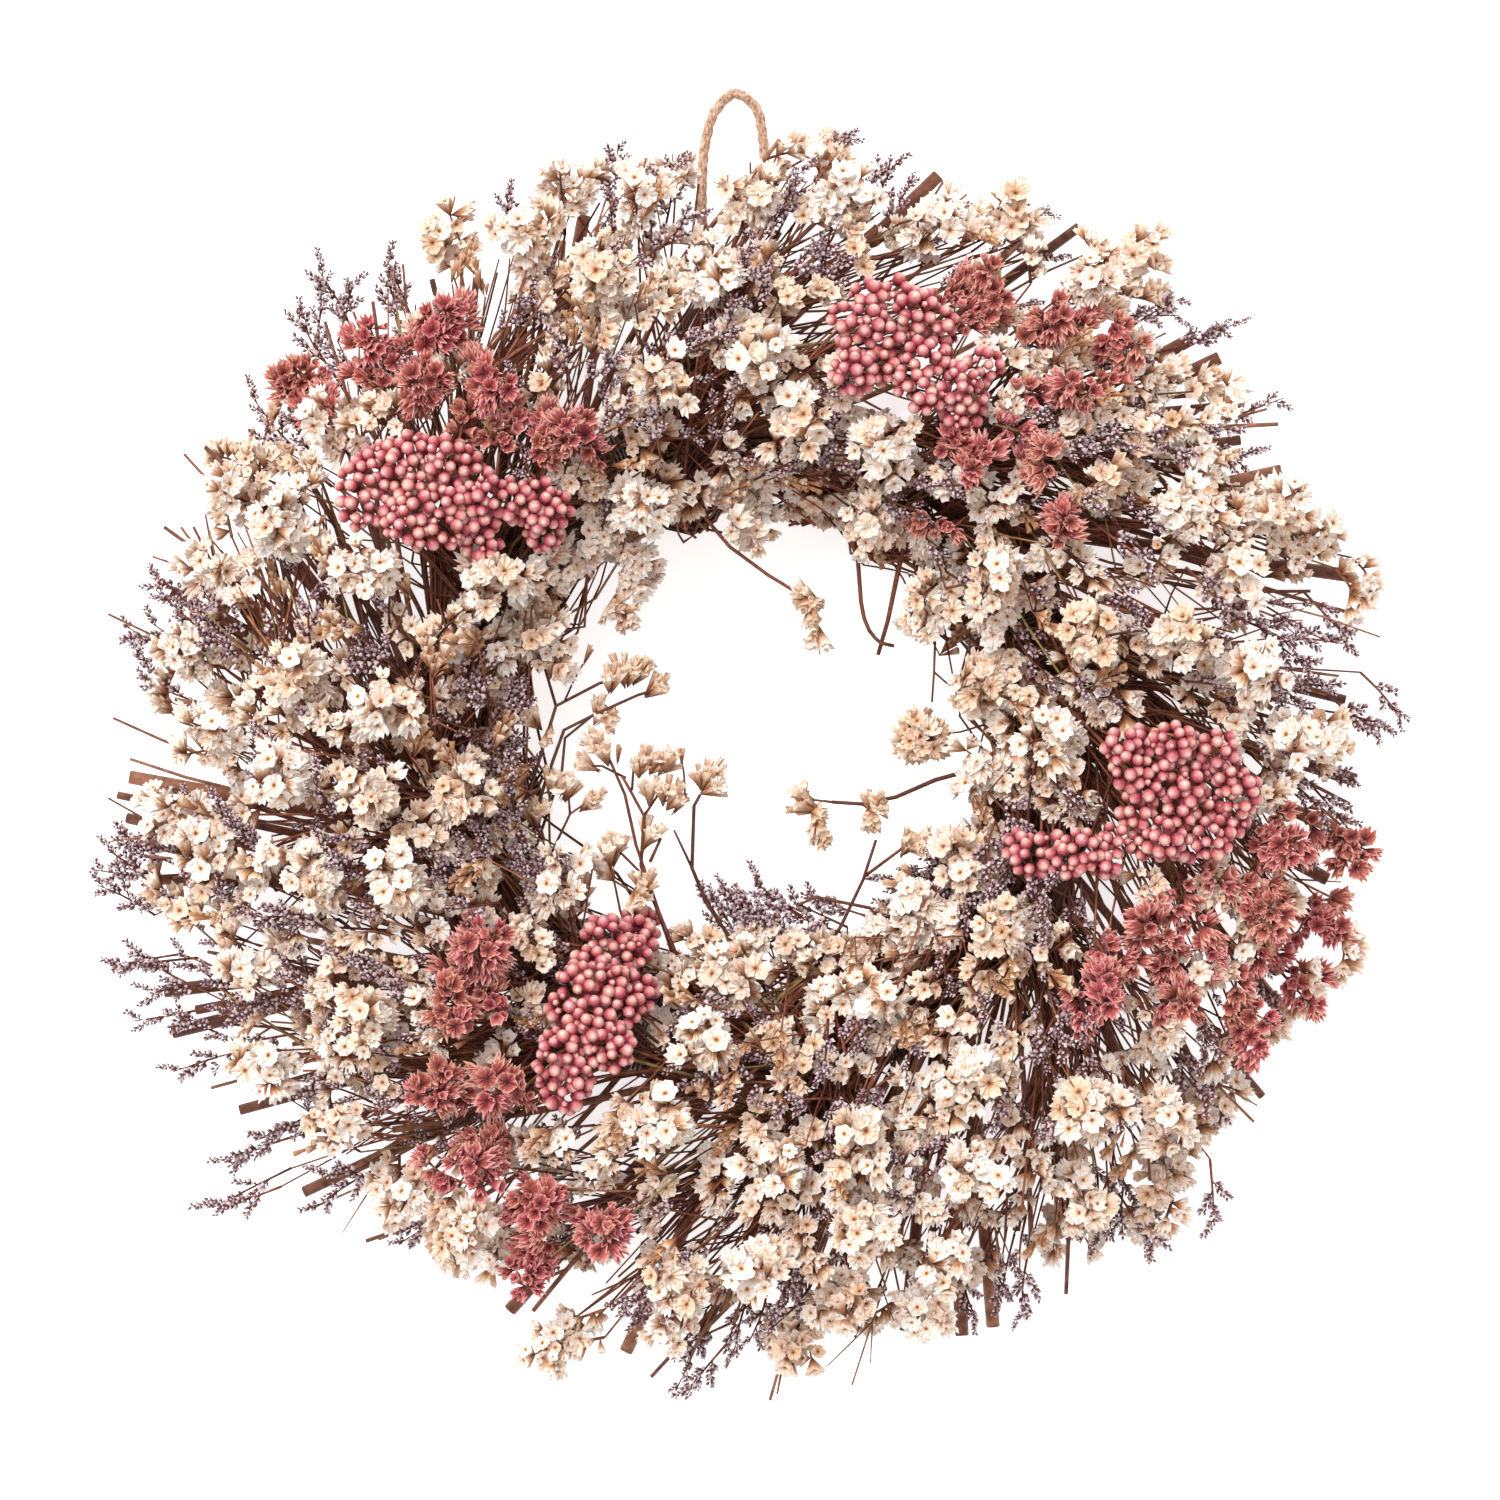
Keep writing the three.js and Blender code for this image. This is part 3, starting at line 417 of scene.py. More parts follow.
def settle_heads(these):
    """Gives each head its direction and its foot, and takes up their room."""
    for bunch in these:
        for head in bunch.heads:
            head.up = facing(head.place)
            if bunch.kind == "caspia":
                head.foot = head.place - head.up * SPIKE_LENGTH
                taken.append((head.foot, head.place, SPIKE_RADIUS))
                continue
            head.foot = head.place - head.up * NECK_SHARE * head.radius
            taken.append((head.place, head.place, head.radius))
            taken.append((head.place, head.foot, head.radius * NECK_RADIUS))


settle_heads(others)


def white_bunch_for(place):
    """The nearest white bunch whose stems can sweep out to this place."""
    best = None
    for bunch in whites:
        sweep = turn_between(binding_degrees(bunch.binding), degrees_of(place))
        if WHITE_REACH[0] <= sweep <= WHITE_REACH[1]:
            distance = norm(bunch.aim - place)
            if best is None or distance < best[0]:
                best = (distance, bunch)
    return best and best[1]


def place_white_heads():
    """White heads at their own spots first, then wherever a throw finds room."""
    starts, ends, radii = taken_now()
    coloured = [head for other in others for head in other.heads]
    coloured_places = np.array([head.place for head in coloured])
    coloured_room = np.array([head.radius + HEAD_RADIUS + COLOURED_GAP for head in coloured])

    def try_white(place):
        if place[2] < HEAD_RADIUS + 1 or ring_gap(place) < HEAD_RADIUS + 2 * HANDLE_RADIUS + 1:
            return
        bunch = white_bunch_for(place)
        if bunch is None:
            return
        if (away(coloured_places, place) < coloured_room).any():
            return
        for other in whites:
            spacing = BUNCH_SPACING if other is bunch else HEAD_SPACING
            if any(norm(head.place - place) < spacing for head in other.heads):
                return
        if (gaps(place, place, starts, ends) < HEAD_RADIUS + radii + HEAD_GAP).any():
            return
        bunch.heads.append(SimpleNamespace(place=place, radius=HEAD_RADIUS))

    for spot in WHITE_SPOTS:
        try_white(on_canopy(spot, WHITE_DEPTH[0]))
    draw = seeded(SEED + 1)
    for _ in range(THROWS):
        around = 360 * draw()
        lean = WHITE_LEAN[0] + WHITE_LEAN[1] * draw()
        place = in_canopy(around, lean, WHITE_DEPTH[0] + WHITE_DEPTH[1] * draw())
        if not is_near(place, BARE):
            try_white(place)


place_white_heads()
settle_heads(whites)

for binding in range(BINDINGS):
    here = [bunch for bunch in bunches if bunch.binding == binding]
    here.sort(key=lambda bunch: atan2(bunch.aim[2] - RING_HEIGHT, radius_of(bunch.aim) - RING_RADIUS))
    for lane, bunch in zip(LANES, here):
        bunch.lane = lane


def within(place, share):
    """A place moved towards the middle of the canopy's section."""
    radius = radius_of(place)
    centre = vec(place[0] / radius * CANOPY_RADIUS, place[1] / radius * CANOPY_RADIUS, CANOPY_HEIGHT)
    return centre + (place - centre) * share


def spine_of(bunch):
    """The bunch's main stem, from its handle on the ring towards its heads."""
    start = binding_degrees(bunch.binding)
    places = handle_places(bunch.binding, bunch.lane)
    sweeps = [turn_between(start, degrees_of(head.place)) for head in bunch.heads]
    far = max(SPINE_LEAST, max(sweeps) - SPINE_SHORT_OF_HEADS)
    for sweep, share in zip(((SPINE_START + far) / 2, far), SPINE_DEPTHS):
        place = within(bunch.aim, share)
        places.append(round_axis(start - sweep, radius_of(place), place[2]))
    return np.array(places)


for bunch in bunches:
    bunch.spine = spine_of(bunch)

# Camera and cord come first.
scene = bpy.context.scene
camera = bpy.data.objects.new("camera", bpy.data.cameras.new("camera"))
camera.location = (-CENTRING[0] * MM, -CENTRING[1] * MM, EYE_HEIGHT * MM)
camera.data.sensor_width = 36
camera.data.lens = 112.14  # fits MM_PER_PIXEL at SCALE_HEIGHT
camera.data.shift_x = (PHOTO_SIDE / 2 - CENTRE_PIXEL[0]) / PHOTO_SIDE
camera.data.shift_y = (CENTRE_PIXEL[1] - PHOTO_SIDE / 2) / PHOTO_SIDE
scene.collection.objects.link(camera)
scene.camera = camera

RAMP = "flower"


class Shape:
    """A small shape that is repeated, with its corners kept for bending and placing."""

    def __init__(self, bm):
        self.mesh = bpy.data.meshes.new("shape")
        bm.to_mesh(self.mesh)
        bm.free()
        self.corners = np.empty(len(self.mesh.vertices) * 3)
        self.mesh.vertices.foreach_get("co", self.corners)
        self.corners = self.corners.reshape(-1, 3)
        self.ramp = np.empty(len(self.mesh.loops) * 2)
        self.mesh.uv_layers[0].data.foreach_get("uv", self.ramp)


class Pile:
    """Copies of shapes gathered into one mesh."""

    def __init__(self, metres=True):
        self.bm = bmesh.new()
        self.bm.loops.layers.uv.new(RAMP)
        self.metres = metres

    def add(self, shape, corners, tint=0.0):
        places = (corners - CENTRING) * MM if self.metres else corners
        shape.mesh.vertices.foreach_set("co", np.ascontiguousarray(places, float).ravel())
        ramp = shape.ramp.copy()
        ramp[1::2] += tint
        shape.mesh.uv_layers[0].data.foreach_set("uv", ramp)
        self.bm.from_mesh(shape.mesh)

    def put(self, shape, axes, place, size=1.0, tint=0.0):
        """A copy turned so that its own x, y and z run along the three axes."""
        self.add(shape, (shape.corners * size) @ axes + place, tint)


def axes_from(up, spin):
    """Rows: across, aside and up, turned by spin about up."""
    up = unit(up)
    first = unit(np.cross(vec(0, 1, 0) if abs(up[2]) > 0.9 else UP, up))
    across = first * cos(spin) + np.cross(up, first) * sin(spin)
    return np.array((across, np.cross(up, across), up))


def paint_ramp(bm, level, material=0, smooth=True):
    """Writes each corner's level as its place on the colour ramp."""
    layer = bm.loops.layers.uv.new(RAMP)
    for face in bm.faces:
        face.material_index = material
        face.smooth = smooth
        for loop in face.loops:
            loop[layer].uv = (loop.vert[level], 0)


def turned(profile, segments):
    """A closed shape spun about Z from (radius, height, level) rows that start and end on the axis."""
    bm = bmesh.new()
    level = bm.verts.layers.float.new("level")
    verts = []
    for radius, height, at in profile:
        verts.append(bm.verts.new((radius, 0, height)))
        verts[-1][level] = at
    edges = [bm.edges.new(pair) for pair in zip(verts, verts[1:])]
    bmesh.ops.spin(bm, geom=verts + edges, cent=(0, 0, 0), axis=(0, 0, 1), angle=tau,
                   steps=segments, use_merge=True)
    bmesh.ops.remove_doubles(bm, verts=bm.verts[:], dist=1e-4)
    bmesh.ops.recalc_face_normals(bm, faces=bm.faces[:])
    return bm, level


@cache
def rod_shape(sides, steps, material):
    """A straight rod with flat ends, in rings that a path can bend."""
    bm = bmesh.new()
    level = bm.verts.layers.float.new("level")
    bmesh.ops.create_cone(
        bm, cap_ends=True, cap_tris=False, segments=sides, radius1=1, radius2=1, depth=1)
    upright = [edge for edge in bm.edges if abs(edge.verts[0].co.z - edge.verts[1].co.z) > 0.5]
    if steps > 1:
        bmesh.ops.subdivide_edges(bm, edges=upright, cuts=steps - 1, use_grid_fill=True)
    for vert in bm.verts:
        vert[level] = vert.co.z + 0.5
    paint_ramp(bm, level, material)
    shape = Shape(bm)
    shape.station = np.rint((shape.corners[:, 2] + 0.5) * steps).astype(int)
    shape.angle = np.arctan2(shape.corners[:, 1], shape.corners[:, 0])
    return shape


def curved(points, count):
    """A smooth way through the points, in evenly spaced places."""
    points = np.asarray(points, float)
    at = np.concatenate(([0], np.cumsum(norm(np.diff(points, axis=0), axis=1))))
    slopes = np.gradient(points, at, axis=0) if len(points) > 2 else np.tile(
        (points[1] - points[0]) / at[1], (2, 1))
    where = np.linspace(0, at[-1], count)
    i = np.clip(np.searchsorted(at, where, side="right") - 1, 0, len(points) - 2)
    span = (at[i + 1] - at[i])[:, None]
    t = ((where - at[i])[:, None]) / span
    return ((2 * t ** 3 - 3 * t ** 2 + 1) * points[i] + (t ** 3 - 2 * t ** 2 + t) * span * slopes[i]
            + (3 * t ** 2 - 2 * t ** 3) * points[i + 1] + (t ** 3 - t ** 2) * span * slopes[i + 1])


def bowed(start, end, bow, count):
    """A smooth way whose middle is moved by the bow."""
    return curved((start, (start + end) / 2 + bow, end), count)


def add_rod(pile, path, radii, tint=0.0, sides=4, material=1, across=None, ridges=None):
    """A rod bent along the path. Ridges, where given, change the radius by station and angle."""
    path = np.asarray(path, float)
    shape = rod_shape(sides, len(path) - 1, material)
    along = np.gradient(path, axis=0)
    along /= norm(along, axis=1)[:, None]
    if across is None:
        whole = path[-1] - path[0]
        across = np.cross(path[len(path) // 2] - path[0], whole)
        if norm(across) < 1e-3 * norm(whole) ** 2:
            across = np.cross(whole, vec(0.3, 0.5, 1) if abs(along[0][2]) < 0.9 else vec(1, 0.2, 0))
    aside = np.cross(along, across)
    aside /= norm(aside, axis=1)[:, None]
    wide = np.cross(aside, along)
    radius = np.broadcast_to(np.asarray(radii, float), len(path))[shape.station]
    if ridges is not None:
        radius = radius * ridges(shape.station, shape.angle)
    sway = (np.cos(shape.angle)[:, None] * wide[shape.station]
            + np.sin(shape.angle)[:, None] * aside[shape.station])
    pile.add(shape, path[shape.station] + sway * radius[:, None], tint)


def add_object(name, mesh):
    thing = bpy.data.objects.new(name, mesh)
    scene.collection.objects.link(thing)
    return thing


def finish_piece(name, pile, materials, slot, *nodes):
    mesh = bpy.data.meshes.new(name)
    pile.bm.to_mesh(mesh)
    pile.bm.free()
    for material in materials:
        mesh.materials.append(material)
    piece = add_object(name, mesh)
    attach(piece, "root")
    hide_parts(*nodes)
    return piece


# Materials. Colours are given as on a screen, 0 to 255.
WHITE = (255, 255, 255)


def linear(rgb):
    """A screen colour as linear light."""
    return [((c / 255 + 0.055) / 1.055) ** 2.4 if c > 10 else c / 255 / 12.92 for c in rgb] + [1.0]


class Finish:
    """A material and short ways to wire its nodes."""

    def __init__(self, name, roughness, sheen=0.0):
        self.material = bpy.data.materials.new(name)
        self.material.use_nodes = True
        self.tree = self.material.node_tree
        self.shader = self.tree.nodes["Principled BSDF"]
        self.feed(self.shader, {"Roughness": roughness, "Sheen Weight": sheen})
        self.place = self.node("TexCoord").outputs["Object"]
        split = self.node("SeparateXYZ", {0: self.node("UVMap", uv_map=RAMP).outputs["UV"]})
        self.along, self.tint = split.outputs[0], split.outputs[1]

    def feed(self, node, inputs):
        """Sets a node's inputs, each to a value or to another node's output."""
        for name, value in inputs.items():
            if hasattr(value, "is_output"):
                self.tree.links.new(value, node.inputs[name])
            else:
                node.inputs[name].default_value = value
        return node

    def node(self, kind, inputs=None, **settings):
        node = self.tree.nodes.new(f"ShaderNode{kind}")
        for name, value in settings.items():
            setattr(node, name, value)
        return self.feed(node, inputs or {})

    def noise(self, scale, detail=3.0, stretch=None):
        source = self.place
        if stretch:
            source = self.node("Mapping", {"Vector": source, "Scale": stretch}).outputs[0]
        return self.node("TexNoise", {"Vector": source, "Scale": scale, "Detail": detail}).outputs["Fac"]

    def ramp(self, value, stops):
        """A colour ramp from rows of position, red, green and blue."""
        node = self.node("ValToRGB", {0: value})
        elements = node.color_ramp.elements
        for element, (at, *rgb) in zip(elements, (stops[0], stops[-1])):
            element.position, element.color = at, linear(rgb)
        for at, *rgb in stops[1:-1]:
            elements.new(at).color = linear(rgb)
        return node.outputs["Color"]

    def mix(self, factor, first, second, way="MIX"):
        inputs = {0: factor, 6: first, 7: second}
        return self.node("Mix", inputs, data_type="RGBA", blend_type=way).outputs[2]

    def worn_and_shaded(self, shade, factor, value, *stops):
        """The shade multiplied by a ramp: worn streaks and spots on stems, tan patches mixed with painted
        crease shade on petals, painted shade in the twine's grooves.
        """
        return self.mix(factor, shade, self.ramp(value, stops), "MULTIPLY")

    def paint(self, shade, height, strength, distance):
        bump = self.node("Bump", {"Strength": strength, "Distance": distance, "Height": height})
        self.feed(self.shader, {"Base Color": shade, "Normal": bump.outputs[0]})
        return self.material


def flower_material(name, roughness, sheen, young, old, mottling, grain):
    """Petals or buds: a ramp from the base to the throat or tip, more faded on some."""
    finish = Finish(name, roughness, sheen)
    shade = finish.mix(finish.tint, finish.ramp(finish.along, young), finish.ramp(finish.along, old))
    # Random darker patches: on the petals partly tan patches and partly painted shade in their creases; on
    # the buds their own mottling.
    if mottling:
        factor, scale, detail, *stops = mottling
        shade = finish.worn_and_shaded(shade, factor, finish.noise(scale, detail), *stops)
    scale, detail, strength, distance = grain
    return finish.paint(shade, finish.noise(scale, detail), strength, distance)


def stem_material(name, stops, mottling):
    """Thin dry stems: the tint picks the shade, and streaks and spots wear it."""
    finish = Finish(name, 0.7)
    streaks = finish.noise(420, 4, (1, 1, 0.35))
    shade = finish.worn_and_shaded(finish.ramp(finish.tint, stops), 0.8, streaks, (0.3, *mottling), (0.65, *WHITE))
    return finish.paint(shade, finish.noise(900, 4), 0.5, 0.0004)


def twine_material():
    """Jute: lighter and darker fibres that lie along the twist."""
    finish = Finish("jute_twine", 0.9, 0.2)
    fibres = finish.noise(1500, 5, (1, 0.45, 1))
    shade = finish.ramp(fibres, ((0.3, 138, 100, 78), (0.5, 200, 160, 132), (0.72, 240, 212, 190)))
    # Low on the ramp is darker: on the loop, painted shade in the grooves between the plies; on the tie and
    # knot the ramp runs along each rod, so each is darker towards its start.
    shade = finish.worn_and_shaded(shade, 0.75, finish.along, (0, 120, 84, 60), (0.5, *WHITE), (1, *WHITE))
    return finish.paint(shade, fibres, 0.7, 0.0005)


def wire_material():
    finish = Finish("binding_wire", 0.45)
    finish.feed(finish.shader, {"Metallic": 0.8})
    shade = finish.ramp(finish.noise(500, 3), ((0.3, 70, 62, 54), (0.7, 128, 118, 106)))
    return finish.paint(shade, finish.noise(1800, 2), 0.2, 0.0002)


PETAL_GRAIN = (2200, 3, 0.35, 0.0003)
# White petals: the last ramp darkens random patches, partly tan patches and partly painted crease shade.
white_petals = flower_material(
    "white_petals", 0.75, 0.1,
    ((0, 88, 48, 36), (0.14, 146, 92, 60), (0.28, 204, 150, 104), (0.4, 246, 224, 202),
     (0.5, 255, 251, 247), (0.8, 255, 246, 236), (0.88, 246, 218, 188), (0.93, 206, 148, 102),
     (0.97, 134, 84, 58), (1, 96, 56, 42)),
    ((0, 80, 46, 36), (0.14, 128, 82, 56), (0.28, 176, 124, 84), (0.4, 218, 182, 150),
     (0.5, 246, 224, 202), (0.8, 236, 202, 170), (0.88, 208, 160, 118), (0.93, 164, 110, 74),
     (0.97, 112, 68, 48), (1, 84, 48, 36)),
    (0.7, 950, 4, (0.3, 206, 164, 132), (0.5, *WHITE)), PETAL_GRAIN)
# Pink petals: the trumpet's base, up to 0.38 on the ramp, is partly its own brown and partly painted shade
# under the floret; the last ramp darkens random patches, partly tan and partly painted crease shade.
pink_petals = flower_material(
    "pink_petals", 0.75, 0.1,
    ((0, 78, 34, 30), (0.2, 134, 52, 52), (0.38, 192, 86, 90), (0.5, 254, 196, 192),
     (0.6, 216, 120, 120), (0.84, 166, 66, 72), (0.95, 120, 44, 46), (1, 86, 32, 32)),
    ((0, 82, 42, 32), (0.2, 142, 72, 56), (0.38, 188, 104, 86), (0.5, 248, 202, 180),
     (0.6, 210, 134, 114), (0.84, 156, 76, 66), (0.95, 112, 48, 42), (1, 82, 34, 30)),
    (0.7, 950, 4, (0.3, 190, 128, 126), (0.5, *WHITE)), PETAL_GRAIN)
stems = stem_material(
    "dry_stems", ((0, 98, 52, 38), (0.3, 138, 78, 55), (0.55, 172, 104, 75), (0.8, 198, 126, 91),
                  (0.9, 172, 138, 80), (1, 182, 160, 98)), (160, 138, 126))
bark = stem_material(
    "ring_bark", ((0, 96, 55, 39), (0.5, 146, 90, 67), (1, 198, 142, 107)), (120, 104, 98))
cut_wood = stem_material("cut_wood", ((0, 150, 118, 92), (1, 182, 150, 120)), (170, 150, 130))
# Caspia: the dark base of each tiny floret is partly its own purple calyx and partly painted shade.
florets_caspia = flower_material(
    "caspia_florets", 0.8, 0.1,
    ((0, 70, 36, 38), (0.4, 116, 76, 80), (0.58, 230, 204, 208), (1, 255, 250, 252)),
    ((0, 58, 30, 30), (0.42, 88, 54, 56), (0.6, 142, 104, 110), (1, 206, 176, 182)),
    None, (2600, 2, 0.3, 0.0002))
# Buds: dark at the base and pale at the point. The point turns out and partly up, so the pale top is partly
# the buds' own paler point and partly a painted highlight, and the dark base partly painted shade.
buds_rice = flower_material(
    "rice_flower_buds", 0.42, 0.05,
    ((0, 100, 26, 38), (0.35, 160, 54, 72), (0.66, 198, 90, 104), (0.86, 228, 148, 150),
     (1, 252, 214, 206)),
    ((0, 114, 34, 42), (0.35, 182, 76, 82), (0.66, 214, 118, 116), (0.86, 242, 184, 172),
     (1, 255, 230, 206)),
    (0.6, 1100, 3, (0.38, 206, 176, 176), (0.62, *WHITE)), (1500, 2, 0.25, 0.0003))
jute = twine_material()
wire = wire_material()

# Twine: three plies, twisted together.
LOOP_LIFT = 1.72
LOOP_STEPS = 200
PLY_TWIST = 12
PLIES_PHASE = 1.5
TWINE_SIDES = 18


def add_twine(pile, path):
    """Three-ply twine along the path, with the groove between the plies low on the ramp, painted darker as
    shade.
    """
    steps = len(path) - 1
    turns = norm(np.diff(path, axis=0), axis=1).sum() / PLY_TWIST

    def ridge(station, angle):
        return np.abs(np.cos(PLIES_PHASE * (angle - tau * turns * station / steps)))

    shape = rod_shape(TWINE_SIDES, steps, 0)
    loops = np.empty(len(shape.mesh.loops), int)
    shape.mesh.loops.foreach_get("vertex_index", loops)
    # The grooves between the plies go low on the ramp, where the jute is painted with shade.
    shape.ramp[0::2] = ridge(shape.station, shape.angle)[loops]
    add_rod(pile, path, TWINE_RADIUS, 0.0, TWINE_SIDES, 0,
            ridges=lambda station, angle: 0.72 + 0.32 * ridge(station, angle))


loop_path = curved(loop_places, LOOP_STEPS)
loop_path[:, 2] = np.maximum(loop_path[:, 2], LOOP_LIFT)
loop_pile = Pile()
add_twine(loop_pile, loop_path)
hanging_loop = finish_piece("loop_twine", loop_pile, (jute,), "twine", "hanging_loop")
loop_metres = ((loop_path - CENTRING) * MM).tolist()
loop_length = float(norm(np.diff(np.array(loop_metres), axis=0), axis=1).sum())

# The flowers' own shapes, in millimetres, each opening along +Z from the point where it is held.
# Every draw below comes from one generator, so their order is part of the wreath's look.
ran = random.Random(7)
between = ran.uniform
GOLDEN_TURN = 2.4
FLORET_SIZES = (0.68, 1.42, 0.9)
TINT_SPREAD = 0.28
BRANCHLET_STEPS = 32
WIDE_SHARE = 0.84
WAY_SHARES = np.linspace(0.5, 1, 11)
SPRIG_REACH = (4, 66)
OUT_OF_REACH = 200

# How high the rim stands at the four spokes of a lobe, as a share of the frill.
PLEATED = (-0.5, 0.35, -0.15, 0.35)
RUFFLED = (-0.5, 0.45, -0.4, 0.6)


def floret_shape(size, depth, frill, notch=0.2, lean=0.0, cup=0.78, spokes=20, levels=(0, 0.5, 1),
                 rise=PLEATED):
    """A papery trumpet that opens into five pleated lobes, or into a ruffled rim."""
    profile = tuple(zip((0, size, 0), (-0.3, depth, cup * depth), levels))
    bm, level = turned(profile, spokes)
    for vert in bm.verts:
        if hypot(vert.co.x, vert.co.y) > 0.5 * size:
            spoke = round(atan2(vert.co.y, vert.co.x) * spokes / (tau)) % spokes
            step = spoke * 20 // spokes % 4
            wide = between(0.9, 1.12) - (notch if step == 0 else 0)
            vert.co.x *= wide
            vert.co.y *= wide
            vert.co.z += frill * (between(-0.35, 0.35) + rise[step])
        vert.co.x += lean * vert.co.z
    paint_ramp(bm, level, smooth=False)
    return Shape(bm)


def floret_shapes(*rows, **more):
    return [floret_shape(*row, **more) for row in rows]


open_florets = floret_shapes(
    (3.0, 5.0, 1.0, 0.13), (3.2, 4.6, 1.1, 0.11), (2.8, 5.4, 1.1, 0.15, 0.1),
    (3.1, 4.8, 1.4, 0.14, -0.08), (2.7, 5.2, 1.5, 0.17, 0.15, 0.7), (3.0, 5.2, 1.7, 0.13, -0.12, 0.84),
    (2.6, 5.4, 2.2, 0.19, 0.2, 0.5), (2.9, 4.9, 2.4, 0.17, -0.2, 0.6))
brush_florets = floret_shapes(
    (1.4, 7.6, 1.5, 0.3, 0.1, 0.85, 10, (0, 0.46, 0.38)),
    (1.0, 8.4, 1.2, 0.2, -0.08, 0.85, 10, (0, 0.42, 0.34)),
    (1.9, 7.2, 1.8, 0.34, 0.05, 0.8, 10, (0, 0.49, 0.42)))
narrow_florets = floret_shapes(
    (1.9, 5.8, 0.8, 0.2, 0.1, 0.72, 10), (1.4, 6.0, 0.6, 0.15, -0.1, 0.72, 10),
    (2.2, 5.6, 0.9, 0.25, 0.05, 0.72, 10))
frilly_florets = floret_shapes(
    (2.5, 4.9, 2.3, 0.1, 0, 0.55), (2.7, 4.5, 2.1, 0.12, 0.1, 0.6), (2.2, 5.2, 2.4, 0.08, -0.12, 0.5),
    (2.6, 4.8, 2.6, 0.14, 0.12, 0.65), rise=RUFFLED)
closed_florets = floret_shapes((0.85, 6.2, 0.5, 0.1, 0.06, 0.8, 6, (0, 0.4, 0.3)))
dry_florets = floret_shapes(
    (0.9, 4.8, 0.6, 0.2, 0.1, 0.8, 6, (0, 0.36, 0.24)),
    (0.7, 5.6, 0.5, 0.2, -0.08, 0.8, 6, (0.05, 0.3, 0.2)),
    (1.2, 5.2, 0.8, 0.25, 0.1, 0.7, 6, (0, 0.44, 0.36)))


def bead_shape(point, segments):
    """A round closed bud with a slight point."""
    # Levels run from the base to the point: the ramp paints shade low and a highlight at the point.
    profile = ((0, -1.7, 0), (1.4, -1.2, 0.25), (1.95, 0, 0.5), (1.68, 1.0, 0.72),
               (0.95, 1.7, 0.9), (0, 1.9 + point, 1))
    bm, level = turned(profile, segments)
    paint_ramp(bm, level)
    return Shape(bm)


beads = [bead_shape(0.1, 8), bead_shape(0.4, 8)]
small_bead = bead_shape(0.1, 5)


def twig_shape(count, length):
    """A spike of caspia crowded with tiny florets."""
    grain_bm, level = turned(((0, 0, 0), (0.78, 1.35, 0.5), (0, 2.8, 1)), 4)
    paint_ramp(grain_bm, level, smooth=False)
    grain = Shape(grain_bm)
    pile = Pile(metres=False)
    bow = between(-0.9, 0.9)
    for i in range(count):
        share = (i + 0.5) / count
        spin = GOLDEN_TURN * i + between(-0.4, 0.4)
        up = vec(cos(spin) * 0.8, sin(spin) * 0.8, 0.9)
        foot = vec(cos(spin) * 0.3 + bow * share * share * 2, sin(spin) * 0.3,
                   length * (0.1 + 0.86 * share))
        pile.put(grain, axes_from(up, spin), foot, between(0.75, 1.25) * (1.15 - 0.4 * share),
                 0.0 if ran.random() < 0.55 else between(0.6, 0.9))
    stem = ((0, 0, 0), (bow * 0.5, 0, length * 0.5), (bow * 2, 0, length))
    add_rod(pile, stem, (0.34, 0.28, 0.16), 0.1, 3)
    return Shape(pile.bm)


twigs = [twig_shape(15, 9.5), twig_shape(12, 7.5), twig_shape(18, 12), twig_shape(14, 8.5)]


def pick(items):
    return items[ran.randrange(len(items))]


def tint_near(middle, spread):
    return min(1.0, max(0.0, ran.gauss(middle, spread)))


def jitter(amount):
    return vec(between(-amount, amount), between(-amount, amount), between(-amount, amount))


def add_floret(pile, base, up, shape, size=1.0, age=0.3):
    if over_loop(base):
        return
    axes = axes_from(up, between(0, tau))
    tint = tint_near(age, TINT_SPREAD)
    pile.put(shape, axes, base, size * ran.triangular(*FLORET_SIZES), tint)


def add_tuft(pile, base, way, count, size, age, petals, spread=0.5):
    """A few florets that fan out from one point."""
    for _ in range(count):
        add_floret(pile, base + jitter(0.5), unit(way) + jitter(spread), pick(petals), size, age)


def add_branchlet(pile, points, above, size, age, petals, bare=0.3, pitch=2.5):
    """A thin branchlet through the points, its far part crowded with florets on the side above."""
    fine = curved(points, BRANCHLET_STEPS + 1)
    length = norm(np.diff(fine, axis=0), axis=1).sum()
    rows = max(2, round(length * (1 - bare) / pitch))
    ways = np.gradient(fine, axis=0)
    for i in np.rint(np.linspace(bare * BRANCHLET_STEPS, BRANCHLET_STEPS - 1, rows)).astype(int):
        way = unit(ways[i])
        normal = unit(above - way * (above @ way))
        side = np.cross(way, normal)
        for hand in (-1, 1):
            shape = pick(petals if ran.random() < WIDE_SHARE else narrow_florets)
            tilt = normal + side * hand * 0.65 + way * 0.45 + jitter(0.75)
            add_floret(pile, fine[i] + side * hand * 0.4 + way * hand * 0.6, tilt, shape, size, age)
    add_floret(pile, fine[-1], unit(ways[-1]) + above * 0.3, pick(petals), size, age)
    add_rod(pile, fine[::4], np.linspace(0.6, 0.35, 9), between(0.1, 0.9), 3)


